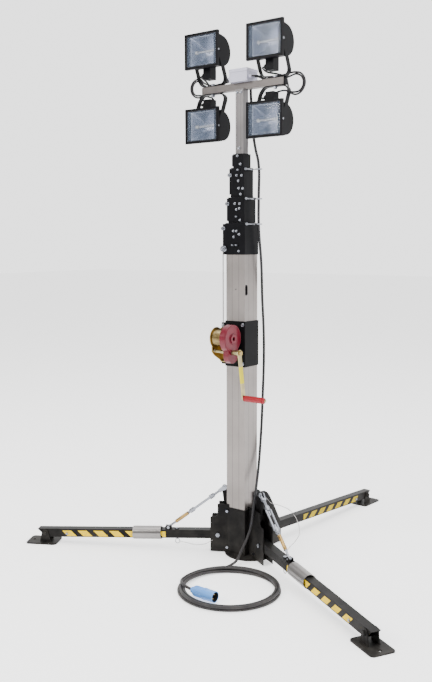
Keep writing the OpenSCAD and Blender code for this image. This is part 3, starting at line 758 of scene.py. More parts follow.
STAINLESS = Finish("sleeve_steel", (0.24, 0.228, 0.222), 0.32, 1.0, drift=0.08, grain=800.0,
                   scuffs=0.25, scuff_colour=(0.40, 0.37, 0.35))
RUBBER = Finish("cable_rubber", (0.014, 0.013, 0.015), 0.5, drift=0.25, drift_scale=14.0,
                grain=600.0, dust=0.08, specular=0.3)
WIRE = Finish("wire_rope", (0.34, 0.33, 0.32), 0.36, 1.0, drift=0.2, drift_scale=60.0)
WOUND = Finish("wound_wire_rope", (0.30, 0.23, 0.11), 0.34, 1.0, drift=0.3, drift_scale=60.0)
QUARTZ = Finish("lamp_tube", (0.20, 0.20, 0.21), 0.12, coat=0.8, drift=0.06)
CERAMIC = Finish("ceramic", (0.36, 0.35, 0.33), 0.5, drift=0.06)
PLUG_RIBS = Finish("plug_ribs", (0.09, 0.28, 0.68), 0.36, coat=0.2, drift=0.06)


# ---------------------------------------------------------------- the workshop
@dataclass
class Workshop:
    """Turns shells into pieces of the object and keeps one material for each finish."""

    frame: dict[str, Any]
    made: dict[str, bpy.types.Material] = field(default_factory=dict)

    def material(self, finish: Any) -> bpy.types.Material:
        """The material of a finish, made once."""
        if finish.name not in self.made:
            self.made[finish.name] = finish.material()
        return self.made[finish.name]

    def piece(self, name: str, shell: Shell, finish: Any, body: Optional[str], slot: str,
              wall: float = 0.0) -> bpy.types.Object:
        """Adds a piece to the object.

        Args:
            name: the piece's name.
            shell: its surface in millimetres.
            finish: its finish.
            body: the body that it rides on, or None where it is left unparented.
            slot: the record's slot that its finish stands for; not used.
            wall: thickness given to an open sheet.

        Returns:
            The new object, at the origin, shaded smoothly over edges of up to 35 degrees.
        """
        mesh = bpy.data.meshes.new(name)
        faces = [face for part in shell.faces for face in part.tolist()]
        mesh.from_pydata((shell.points * MM).tolist(), [], faces)
        mesh.update()
        mesh.shade_smooth()
        mesh.set_sharp_from_angle(angle=math.radians(35))
        obj = bpy.data.objects.new(name, mesh)
        bpy.context.scene.collection.objects.link(obj)
        mesh.materials.append(self.material(finish))
        if wall:
            thick = obj.modifiers.new("wall", "SOLIDIFY")
            thick.thickness = wall * MM
            thick.offset = 1.0
        if body:
            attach(obj, body)
        log.info("%s: %d points, %s", name, len(shell.points), finish.name)
        return obj

    def dress(self, node: str, finish: Any) -> None:
        """Gives a CAD node its finish."""
        obj = self.frame["nodes"][node]
        obj.data.materials.clear()
        obj.data.materials.append(self.material(finish))
        for slot in obj.material_slots:
            slot.material = self.material(finish)
        log.info("%s: %s", node, finish.name)

    @staticmethod
    def span(node: str) -> tuple[Array, Array]:
        """A node's lowest and highest corners in millimetres."""
        low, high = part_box(node)
        return np.array(low) / MM, np.array(high) / MM


# ---------------------------------------------------------------- camera and light
@dataclass
class Studio:
    """Camera, floor and soft lights."""

    eye: Point = (2.1552, -3.1000, 1.4346)
    yaw: float = -36.59
    pitch: float = -6.72
    roll: float = -0.21
    lens: float = 29.47
    sky: float = 2.4
    front: float = 0.16
    glow: float = 1.0

    def camera(self) -> None:
        """Stands the camera and makes it the scene's own."""
        yaw, pitch = math.radians(self.yaw), math.radians(self.pitch)
        ahead = Vector((math.cos(pitch) * math.sin(yaw), math.cos(pitch) * math.cos(yaw),
                        math.sin(pitch)))
        data = bpy.data.cameras.new("camera")
        data.sensor_fit = "VERTICAL"
        data.sensor_height = 24.0
        data.lens = self.lens
        data.clip_end = 60.0
        camera = bpy.data.objects.new("camera", data)
        bpy.context.scene.collection.objects.link(camera)
        turn = ahead.to_track_quat("-Z", "Y").to_matrix().to_4x4()
        tip = Matrix.Rotation(math.radians(self.roll), 4, "Z")
        camera.matrix_world = Matrix.Translation(self.eye) @ turn @ tip
        bpy.context.scene.camera = camera

    @staticmethod
    def lamp(name: str, at: Point, aim: Point, size: float, power: float,
             colour: Colour) -> None:
        """Adds a square area light that faces a point."""
        data = bpy.data.lights.new(name, "AREA")
        data.size = size
        data.energy = power
        data.color = colour
        obj = bpy.data.objects.new(name, data)
        bpy.context.scene.collection.objects.link(obj)
        turn = (Vector(aim) - Vector(at)).to_track_quat("-Z", "Y").to_matrix().to_4x4()
        obj.matrix_world = Matrix.Translation(at) @ turn

    def floor(self, far: float = 30.0) -> None:
        """Lays a square pale floor that reaches a distance each way."""
        mesh = bpy.data.meshes.new("floor")
        mesh.from_pydata([(-far, -far, 0), (far, -far, 0), (far, far, 0), (-far, far, 0)], [],
                         [(0, 1, 2, 3)])
        floor = bpy.data.objects.new("floor", mesh)
        bpy.context.scene.collection.objects.link(floor)
        paper = Shader("floor_paper")
        paper.set(Base_Color=(0.88, 0.88, 0.88), Roughness=0.9, Specular_IOR_Level=0.1,
                  Emission_Color=(1.0, 1.0, 1.0), Emission_Strength=self.glow)
        mesh.materials.append(paper.material)

    def surround(self) -> None:
        """Sets the sky, dim towards the camera's side and bright past the tower."""
        world = bpy.context.scene.world or bpy.data.worlds.new("world")
        bpy.context.scene.world = world
        world.use_nodes = True
        tree = world.node_tree
        sky = tree.nodes["Background"]
        spot = tree.nodes.new("ShaderNodeTexCoord")
        parts = tree.nodes.new("ShaderNodeSeparateXYZ")
        ramp = tree.nodes.new("ShaderNodeValToRGB")
        shift = tree.nodes.new("ShaderNodeMapRange")
        shift.inputs["From Min"].default_value = -1.0
        tree.links.new(spot.outputs["Generated"], parts.inputs[0])
        tree.links.new(parts.outputs["Y"], shift.inputs["Value"])
        tree.links.new(shift.outputs["Result"], ramp.inputs[0])
        tree.links.new(ramp.outputs[0], sky.inputs[0])
        Shader.stops(ramp.color_ramp, ((0.0, self.front), (0.42, self.front), (0.62, 1.0)))
        sky.inputs[1].default_value = self.sky

    def build(self) -> None:
        """Sets up the whole studio."""
        self.camera()
        self.floor()
        self.surround()
        self.lamp("key", (-1.6, -4.6, 3.6), (0, 0, 1.2), 2.2, 230.0, (1.0, 0.98, 0.95))
        self.lamp("fill", (4.5, -1.0, 2.6), (0, 0, 1.2), 2.5, 60.0, (0.95, 0.97, 1.0))
        self.lamp("above", (0.6, -0.6, 6.5), (0.3, -0.3, 0), 6.0, 520.0, (1.0, 1.0, 1.0))


# ---------------------------------------------------------------- cables
@dataclass
class Cables:
    """The supply cable with its coil and plug, the lamp leads and the two wire lanyards."""

    shop: Workshop
    supply: float = 12.0
    lead: float = 8.0
    wire: float = 2.4
    coil_centre: tuple[float, float] = (214.0, -395.0)
    coil_inner: float = 187.5
    coil_outer: float = 212.0
    coil_turns: int = 4
    coil_start: float = 150.0
    coil_end: float = 190.0
    layer: float = 12.3
    plug_base: tuple[float, float, float] = (121.0, -529.0, 27.0)
    plug_turn: float = -2.0

    def from_box(self) -> list[Point]:
        """The supply cable's points from the junction box's gland down to the coil."""
        return [(18, 42, 2112), (18, 43, 2085), (20, 45, 2040), (24, 46, 1980), (33, 43, 1900),
                (50, 37, 1835), (66, 29, 1797), (74, 24, 1765), (74, 24, 1638), (74, 24, 1514),
                (70, 52, 1340), (52, 88, 1180), (40, 118, 1040), (38, 124, 900), (42, 110, 740),
                (58, 72, 560), (74, 26, 400), (104, -54, 262), (106, -88, 150), (84, -122, 62),
                (78, -158, 20), (66, -205, 7), (46, -256, 6)]

    def coil(self) -> Array:
        """The coil's turns: the radius falls evenly over the lower layer and grows evenly over
        the upper one, and the height climbs by one diameter between them along a smooth step.
        Each layer's radius also swells along a sine of the angle, so it isn't quite round.

        Returns:
            The points of the turns.
        """
        whole = 360 * self.coil_turns + self.coil_end - self.coil_start
        share = np.linspace(0, 1, 260)
        angle = np.radians(self.coil_start + whole * share)
        lower_end, upper_start = 0.46, 0.53
        climb = np.clip((share - lower_end) / 0.07, 0, 1)
        climb = climb * climb * (3 - 2 * climb)
        fall = np.clip(share / lower_end, 0, 1)
        grow = np.clip((share - upper_start) / 0.47, 0, 1)
        width = self.coil_outer - self.coil_inner
        radius = self.coil_outer - width * fall + width * grow
        radius = radius + (1 - climb) * 3.5 * np.sin(2 * angle + 0.5)
        radius = radius + climb * 4.5 * np.sin(angle - 2.88)
        height = self.supply / 2 + self.layer * climb
        return np.stack([self.coil_centre[0] + radius * np.cos(angle),
                         self.coil_centre[1] + radius * np.sin(angle), height], -1)

    def to_plug(self) -> list[Point]:
        """The last stretch, which hops in over the turns and lies down to the plug."""
        hop = []
        for turn, radius, height in ((14, 208, 24), (25, 198, 30.5), (34, 186, 30.5)):
            angle = math.radians(self.coil_end + turn)
            hop.append((self.coil_centre[0] + radius * math.cos(angle),
                        self.coil_centre[1] + radius * math.sin(angle), height))
        return hop + [(102, -527.5, 28.5), (121, -529, 27), (128, -529.2, 27)]

    def cord(self, name: str, line: Array, width: float,
             finish: Finish, slot: str, replaced: Sequence[str],
             strands: int = 0) -> bpy.types.Object:
        """Makes one cord and hides the CAD nodes that it stands for.

        Args:
            name: the piece's name.
            line: its centreline in millimetres.
            width: its diameter in millimetres.
            finish: its finish.
            slot: its slot.
            replaced: the CAD nodes that it stands for.
            strands: strands of a rope.

        Returns:
            The cord.
        """
        shell = swept(line, width / 2, strands=strands, lay=width * STRAND_LAY,
                      groove=width * STRAND_GROOVE)
        obj = self.shop.piece(name, shell, finish, None, slot)
        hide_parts(*replaced)
        log.info("%s is %.2f m long", name, line_length(line) * MM)
        return obj

    def supply_cable(self) -> None:
        """The supply cable from the junction box to its plug."""
        turns = self.coil()
        down = smooth_route(self.from_box() + [tuple(p) for p in turns[:4:3]], 8.0)
        tail = smooth_route([tuple(p) for p in turns[-9::4]] + self.to_plug(), 6.0)
        cut = int(np.argmin(np.linalg.norm(tail - turns[-1], axis=1)))
        line = np.vstack([down, turns[4:], tail[cut + 1:]])
        ribs = self.plug_grip()
        obj = self.cord("supply_cord", line, self.supply, RUBBER,
                        "cable_black", ("cable_drop", "supply_cable", "cable_coil"))
        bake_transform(obj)

    def plug_axis(self) -> tuple[float, float, float]:
        """The level direction from the plug's cable end to its mouth."""
        turn = math.radians(self.plug_turn)
        return math.cos(turn), math.sin(turn), 0.0

    def plug_grip(self) -> bpy.types.Object:
        """Ribs moulded round the plug's handle: the radius swells with each rib."""
        along = np.array([17, 19, 22, 56, 60, 62.5])
        radius = np.array([20.05, 20.5, 20.9, 20.9, 20.5, 20.05])
        shell = turned(self.plug_base, self.plug_axis(), along, radius, 96, ribs=24, rib=1.5)
        return self.shop.piece("plug_grip", shell, PLUG_RIBS, "base", "plug_blue")

    @staticmethod
    def ring(side: int, centre: Point, radius: float, start: float, end: float,
             depths: tuple[float, float]) -> list[Point]:
        """Points round a loop that hangs in an upright plane beside the bar.

        Args:
            side: -1 for the left end of the bar, 1 for the right.
            centre: the loop's distance from the mast's axis, and its height.
            radius: its radius.
            start: first angle in degrees, from outwards towards up.
            end: last angle.
            depths: Y at the first angle and at the last; it moves in the last half of the turn.

        Returns:
            The points.
        """
        points = []
        steps = max(2, int(abs(end - start) / 32))
        for k in range(steps + 1):
            share = k / steps
            angle = math.radians(start + (end - start) * share)
            depth = depths[0] + (depths[1] - depths[0]) * max(0.0, 2 * share - 1)
            points.append((side * (centre[0] + radius * math.cos(angle)), depth,
                           centre[1] + radius * math.sin(angle)))
        return points

    def lead_points(self, side: int, upper: bool) -> list[Point]:
        """A lamp lead's points, from the junction box round its loop to the lamp's gland."""
        level, gland = 2149, side * 166 - 38
        height = 2177 if upper else 2049
        up = 1 if upper else -1
        if upper:
            line = [(side * 62, -12, level), (side * 72, -10, level), (side * 92, 32, level - 2),
                    (side * 140, 44, level - 3)]
        else:
            line = [(side * 62, 12, level), (side * 72, 14, level - 1), (side * 88, 46, level - 10),
                    (side * 145, 45, level - 15)]
        if side > 0 and upper:
            line += [(190, 45, 2147), *self.ring(1, (247, 2106), 46, 92, -180, (46, 58)),
                     (190, 60, 2138), (150, 58, 2156)]
        elif side > 0:
            line += [(205, 46, 2135), *self.ring(1, (247, 2106), 37.3, 80, -105, (47, 46)),
                     (190, 44, 2081), (142, 48, 2076)]
        elif upper:
            line += [(-190, 45, 2144), *self.ring(-1, (279, 2140), 41, 148, -160, (46, 58)),
                     (-226, 56, 2152)]
        else:
            line += [(-200, 46, 2131), *self.ring(-1, (279, 2140), 32.3, 152, -100, (47, 50)),
                     (-252, 48, 2105), (-222, 46, 2097), (-196, 48, 2087), (-187, 50, 2066),
                     (-197, 52, 2047), (-216, 53, 2041), (-234, 50, 2048), (-240, 39, 2058),
                     (-233, 25, 2061)]
            return line + [(-227, 6, 2055), (-216, -10, 2050), (-200, -14, 2049)]
        return line + [(gland - 21, 31, height - 10 * up), (gland - 22, 8, height - 2 * up),
                       (gland - 12, -9, height), (gland + 4, -14, height)]

    def lamp_leads(self) -> None:
        """One lead for each lamp, from the junction box round its loop to the lamp's gland."""
        for number, (side, upper) in enumerate(((-1, True), (1, True), (-1, False), (1, False)), 1):
            line = smooth_route(self.lead_points(side, upper), 4.0)
            obj = self.cord(f"lamp_lead_{number}", line, self.lead,
                            RUBBER, "cable_black", ("lamp_leads",))
            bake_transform(obj)

    def lanyards(self) -> None:
        """Thin wires that keep the side legs' pull pins."""
        routes = {1: [(171, 29.2, 60), (203, 34, 42), (253, 33, 34), (296, 30, 40), (334, 24, 44)],
                  2: [(132, 16, 296), (150, 30, 276), (198, 36, 281), (255, 36, 288),
                      (310, 36, 291), (356, 36, 281), (387, 36, 262), (402, 36, 238),
                      (402, 36, 214), (382, 36, 184), (348, 36, 152), (322, 34, 128),
                      (312, 26, 106)]}
        for number, points in routes.items():
            azimuth = LEG_AZIMUTHS[number - 1]
            line = smooth_route([beside_leg(azimuth, *p) for p in points], 3.0)
            obj = self.cord(f"lanyard_wire_{number}", line, self.wire,
                            WIRE, "lanyard_wire", (f"lanyard_{number}",), strands=6)
            ends = [beside_leg(azimuth, reach, 0, 60) for reach in (190, 300)]
            [c * MM for c in ends[0]]
            [c * MM for c in ends[1]]
            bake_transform(obj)

    def build(self) -> None:
        """Makes every cord."""
        self.supply_cable()
        self.lamp_leads()
        self.lanyards()
        # The plug's finish paints shade inside its mouth.
        self.shop.dress("plug", PlugPlastic(
            "plug_plastic", (0.09, 0.28, 0.68), 0.34, coat=0.25, drift=0.06,
            base_at=tuple(c * MM for c in self.plug_base), axis=self.plug_axis()))


# ---------------------------------------------------------------- mast
@dataclass
class Mast:
    """The nested tubes, their collars with bolts and pulleys, and the cable's rings."""

    shop: Workshop
    bolts: dict[int, list[tuple[float, float]]] = field(default_factory=lambda: {
        1: [(-9, 1484), (7, 1484), (22, 1469), (-8, 1458), (20, 1396)],
        2: [(-7, 1604), (19, 1603), (17, 1583), (1, 1578), (21, 1532)],
        3: [(-3, 1727), (24, 1726), (6, 1703), (8, 1671), (30, 1669), (18, 1645)],
        4: [(-4, 1812), (12, 1776)]})
    studs: dict[int, list[tuple[float, float]]] = field(default_factory=lambda: {
        1: [(-8, 1422), (12, 1422)], 2: [(6, 1547)], 3: [(9, 1750)], 4: []})
    bodies: tuple[str, ...] = ("base", "stage_2", "stage_3", "stage_4")

    def collar_bolts(self) -> None:
        """Zinc bolts and studs in a zigzag on each collar's front."""
        for number, places in self.bolts.items():
            front = self.shop.span(f"collar_{number}")[0][1]
            heads = [fastener((x, front, z), FRONT, 8, 4.0, 11) for x, z in places]
            along = np.array([-1, 0, 13, 14.5, 14.5])
            radius = np.array([4.5, 4.5, 4.5, 3.5, 1.0])
            heads += [turned((x, front, z), FRONT, along, radius, 20)
                      for x, z in self.studs[number]]
            self.shop.piece(f"collar_bolts_{number}", Shell.joined(heads), ZINC,
                            self.bodies[number - 1], "bolt_steel")

    def pulleys(self) -> None:
        """Rope pulleys in the brackets at the collars' left: a wheel with a half-round groove
        between two cheeks."""
        for number in (1, 2, 3):
            low, high = self.shop.span(f"collar_{number}")
            at = (low[0] + 5, low[1] - 5, high[2] - 20 - 4 * number)
            along = np.array([-5, -5, -4, -2, 0, 2, 4, 5, 5, 7, 7.0])
            radius = np.array([2, 8, 8, 6.2, 6, 6.2, 8, 8, 4, 4, 2.0])
            self.shop.piece(f"pulley_{number}", turned(at, FRONT, along, radius, 36), ZINC,
                            self.bodies[number - 1], "bolt_steel")

    def slot_edging(self) -> None:
        """Rounded rubber edge in the ground tube's slot, a stadium-shaped loop: a circle whose
        upper and lower halves are moved apart."""
        low, high = self.shop.span("mast_tube")
        right, middle, height = high[0], low[1] + 13, 1223
        radius, straight = 8.0, 14.0
        turn = np.linspace(0, 2 * math.pi, 64, endpoint=False)
        line = np.stack([np.full(64, right), middle + radius * np.cos(turn),
                         height + straight * np.sign(np.sin(turn)) + radius * np.sin(turn)], -1)
        self.shop.piece("slot_edging", swept(line, 1.4, 10, loop=True), RUBBER, "base",
                        "cable_black")

    def top_bolts(self) -> None:
        """Bolts that hold the top tube in the fourth stage's head and the bar on the tube."""
        low, high = self.shop.span("stage_5")
        places = ((0, 1846), (-10, high[2] - 14), (10, high[2] - 14))
        heads = [fastener((x, low[1], z), FRONT, 10, 4.5, 13) for x, z in places]
        self.shop.piece("top_bolts", Shell.joined(heads), ZINC, "stage_5", "bolt_steel")

    def build(self) -> None:
        """Makes the mast's pieces and dresses its nodes."""
        self.shop.dress("mast_tube", ALUMINIUM)
        for node in ("stage_2", "stage_3", "stage_4", "stage_5"):
            self.shop.dress(node, STAGE)
        for node in ("collar_1", "collar_2", "collar_3", "collar_4"):
            self.shop.dress(node, COLLAR)
        for node in ("guide_ring_1", "guide_ring_2", "guide_ring_3"):
            self.shop.dress(node, ZINC)
        self.collar_bolts()
        self.pulleys()
        self.slot_edging()
        self.top_bolts()


# ---------------------------------------------------------------- winch
@dataclass
class Winch:
    """The hand winch: its cover, drum winding, hoist rope, fasteners and crank."""

    shop: Workshop
    rope: float = 5.0

    def winding(self) -> None:
        """Wound rope on the drum: the radius rises by about half a rope at each turn's middle."""
        low, high = self.shop.span("winch_drum")
        centre = (low + high) / 2
        left, width, turns = -56.6, 51.2, 10
        valley, swell = 33.2, 2.4
        along = np.linspace(0, width, turns * 12 + 1)
        radius = valley + swell * np.abs(np.sin(math.pi * along * turns / width))
        shell = turned((left, centre[1], centre[2]), (1, 0, 0), along, radius, 72)
        self.shop.piece("wound_rope", shell, WOUND, "drum", "rope")

    def hoist_rope(self) -> None:
        """The rope that runs tight from the drum up to the lowest pulley, and that pulley."""
        pulley = self.shop.span("lift_rope")[1][2] - 13.0
        start = np.array([-34.0, -96.0, 1042.0])
        end = np.array([-59.0, -62.0, pulley])
        line = start + np.linspace(0, 1, 120)[:, None] * (end - start)
        shell = swept(line, self.rope / 2, 18, strands=6, lay=self.rope * STRAND_LAY,
                      groove=self.rope * STRAND_GROOVE)
        obj = self.shop.piece("hoist_rope", shell, WIRE, "base", "rope")
        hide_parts("lift_rope")
        along = np.array([-6, -6, -5, -3, 0, 3, 5, 6, 6.0])
        radius = np.array([3, 13, 13, 10, 9, 10, 13, 13, 3.0])
        wheel = turned((-59, -59.5, pulley), FRONT, along, radius, 40)
        bolt = fastener((-59, -65, pulley), FRONT, 10, 4.5, 12)
        self.shop.piece("hoist_pulley", Shell.joined([wheel, bolt]), ZINC, "base", "bolt_steel")

    def cover_rims(self) -> None:
        """A raised rim round the cover's disc and a smaller one round its hub."""
        rim = hoop((32.0, -116.0, 1012.0), 57.5, 2.2, 120, 12)
        boss = hoop((32.4, -116.0, 1012.0), 24, 1.6, 120, 12)
        self.shop.piece("cover_rim", Shell.joined([rim, boss]), RED_COVER, "base", "red_plastic")

    def plate_bolts(self) -> None:
        """Bolts of the black plate at the mast's corner."""
        low, high = self.shop.span("winch_plate")
        places = ((42, high[2] - 16), (42, low[2] + 16), (-66, high[2] - 22))
        heads = [fastener((x, low[1], z), FRONT, 12, 5, 16) for x, z in places]
        self.shop.piece("plate_bolts", Shell.joined(heads), ZINC, "base", "bolt_steel")

    def crank_details(self) -> None:
        """The crank's clamping nut on its shaft, the cap at the grip's end and its ridges."""
        nut = fastener((74, -121, 952), (1, 0, 0), 19, 7, 24)
        self.shop.piece("crank_nut", nut, YELLOW_ZINC, "crank", "crank_steel")
        low, high = self.shop.span("crank_grip")
        centre = (low + high) / 2
        along = np.array([-2.5, 0, 1.5, 2.4, 2.6])
        radius = np.array([12.6, 12.6, 11, 6, 1.0])
        cap = turned((high[0] - 0.5, centre[1], centre[2]), (1, 0, 0), along, radius, 40)
        first, pitch = low[0] + 14, 9.5
        ridges = [hoop((first + pitch * k, centre[1], centre[2]), 13.4, 0.7, 60, 8)
                  for k in range(9)]
        self.shop.piece("grip_cap", Shell.joined([cap] + ridges), RED_GRIP, "grip", "red_grip")

    def build(self) -> None:
        """Makes the winch's pieces and dresses its nodes."""
        self.shop.dress("winch_plate", BLACK)
        self.shop.dress("winch_frame", YELLOW_ZINC)
        self.shop.dress("winch_drum", YELLOW_ZINC)
        self.shop.dress("winch_cover", RED_COVER)
        self.shop.dress("crank_grip", RED_GRIP)
        self.shop.dress("crank_arm", CrankSteel("crank_steel", (0.34, 0.29, 0.15), 0.32, 1.0,
                                                drift=0.25, drift_scale=30.0))
        self.winding()
        self.hoist_rope()
        self.cover_rims()
        self.plate_bolts()
        self.crank_details()


# ---------------------------------------------------------------- head
@dataclass
class Floodlight:
    """One lamp: reflector, quartz tube, gasket, screws and finishes."""

    shop: Workshop
    number: int
    half_wide: float = 64.0
    half_high: float = 61.0
    deep: float = 72.0

    def centre(self) -> Array:
        """The middle of the glass's back face."""
        low, high = self.shop.span(f"glass_{self.number}")
        return np.array([(low[0] + high[0]) / 2, high[1], (low[2] + high[2]) / 2])

    def reflector(self) -> None:
        """The hammered trough: its depth is the smaller, blended, of one minus the height
        squared and a slope from each side wall, plus the product of two cosines for dimples."""
        middle = self.centre()
        across_u = np.linspace(-1, 1, 109)[None, :]
        up_v = np.linspace(-1, 1, 103)[:, None]
        bowl = (1 - up_v**2) + 0 * across_u
        steep, sharp = 2.1, 14.0
        wall = steep * (1 - np.abs(across_u)) + 0 * up_v
        depth = -np.log(np.exp(-sharp * bowl) + np.exp(-sharp * wall)) / sharp
        depth = np.maximum(depth, 0) * self.deep
        x = middle[0] + self.half_wide * across_u + 0 * up_v
        z = middle[2] + self.half_high * up_v + 0 * across_u
        pitch, height, gap = 2 * math.pi / 7.0, 0.7, 2.0
        dimple = height * np.cos(pitch * (x - middle[0])) * np.cos(pitch * (z - middle[2]))
        y = middle[1] + gap + depth + dimple
        grid = np.stack([x, y, z], -1)
        shell = Shell.from_grid(grid, around=False, ends=False)
        self.shop.piece(f"reflector_{self.number}", shell, Mirror(), f"lamp_{self.number}",
                        "lamp_glass", wall=0.7)

    def quartz(self) -> None:
        """The halogen tube along X, with a ceramic end and its leg at each side."""
        middle = self.centre() + np.array([0, 30.0, 0])
        start = middle - np.array([46.0, 0, 0])
        along = np.array([0, 0.5, 6, 8, 12, 46, 80, 84, 86, 91.5, 92])
        radius = np.array([4, 5, 5, 4.6, 5.6, 5.8, 5.6, 4.6, 5, 5, 4.0])
        self.shop.piece(f"quartz_tube_{self.number}", turned(start, (1, 0, 0), along, radius, 24),
                        QUARTZ, f"lamp_{self.number}", "lamp_glass")
        along = np.array([0, 0.6, 11.4, 12])
        radius = np.array([7, 8, 8, 7.0])
        leg = np.array([4.0, 4.0])
        ends = []
        for side in (-1, 1):
            base = middle + np.array([side * 43.0, 0, 0])
            ends.append(turned(base, (side, 0, 0), along, radius, 28))
            ends.append(turned(base + np.array([side * 6, 3, 0]), (0, 1, 0),
                               np.array([0, 24.0]), leg, 16))
        self.shop.piece(f"ceramic_ends_{self.number}", Shell.joined(ends), CERAMIC,
                        f"lamp_{self.number}", "lamp_glass")

    def gasket(self) -> None:
        """Rubber bead round the glass: a rectangle with round corners, as a superellipse."""
        low, high = self.shop.span(f"glass_{self.number}")
        middle = (low + high) / 2
        half = (high - low) / 2
        u, v = superellipse(22.0, 160)
        line = np.stack([middle[0] + (half[0] - 1.2) * u, np.full(160, low[1] - 0.2),
                         middle[2] + (half[2] - 1.2) * v], -1)
        self.shop.piece(f"gasket_{self.number}", swept(line, 1.5, 10, loop=True), RUBBER,
                        f"lamp_{self.number}", "cable_black")

    def screws(self) -> None:
        """The bezel's closing screws at its sides."""
        low, high = self.shop.span(f"lamp_{self.number}")
        height = self.centre()[2] - 6
        along = np.array([-1, 0, 2.4, 3.4, 3.4])
        radius = np.array([4.2, 4.4, 4.2, 3.2, 1.0])
        knobs = [turned((edge, low[1] + 7, height), (side, 0, 0), along, radius, 20)
                 for side, edge in ((-1, low[0]), (1, high[0]))]
        self.shop.piece(f"bezel_screws_{self.number}", Shell.joined(knobs), ZINC,
                        f"lamp_{self.number}", "bolt_steel")

    def build(self) -> None:
        """Makes the lamp's pieces and dresses its nodes."""
        self.shop.dress(f"lamp_{self.number}", ENAMEL)
        self.shop.dress(f"stirrup_{self.number}", ENAMEL)
        self.shop.dress(f"glass_{self.number}", Pane())
        self.reflector()
        self.quartz()
        self.gasket()
        self.screws()


@dataclass
class Head:
    """Crossbar, junction box and the screws on them."""

    shop: Workshop

    def box_screws(self) -> None:
        """Lid screws at the junction box's corners."""
        lid = self.shop.span("junction_box")[1][2] - 0.5
        along = np.array([-1, 0.9, 1.6, 1.6])
        radius = np.array([4, 4, 3, 0.8])
        heads = [turned((x, y, lid), (0, 0, 1), along, radius, 20)
                 for x in (-40, 40) for y in (-24, 46)]
        self.shop.piece("lid_screws", Shell.joined(heads), ZINC, "stage_5", "bolt_steel")

    def bar_bolts(self) -> None:
        """Nuts that hold the stirrups on the bar's top and bottom."""
        low, high = self.shop.span("crossbar")
        faces = ((1, high[2] + 4.2), (-1, low[2] - 4.2))
        heads = [fastener((x, 12, z), (0, 0, up), 16, 8, 22) for x in (-166, 166) for up, z in faces]
        self.shop.piece("stirrup_nuts", Shell.joined(heads), ZINC, "stage_5", "bolt_steel")

    def bar_caps(self) -> None:
        """Black end plugs of the square bar: a superellipse that bulges a little."""
        low, high = self.shop.span("crossbar")
        middle = (low + high) / 2
        u, v = superellipse(12.0, 64)
        caps = []
        for side in (-1, 1):
            edge = low[0] if side < 0 else high[0]
            rows = [np.stack([np.full(64, edge + side * out), middle[1] + reach * u,
                              middle[2] + reach * v], -1)
                    for out, reach in ((-4, 12.3), (0.1, 12.3), (0.1, 15.0), (2.0, 14.8),
                                       (3.0, 13.0), (3.2, 8.0))]
            caps.append(Shell.from_grid(np.array(rows)))
        self.shop.piece("bar_caps", Shell.joined(caps), COLLAR, "stage_5", "black_steel")

    def build(self) -> None:
        """Makes the head's pieces and the four lamps."""
        # The crossbar's finish is darkened with painted shade.
        self.shop.dress("crossbar", BAR_WITH_PAINTED_SHADE)
        self.shop.dress("junction_box", GREY_BOX)
        self.box_screws()
        self.bar_bolts()
        self.bar_caps()
        for number in range(1, 5):
            Floodlight(self.shop, number).build()


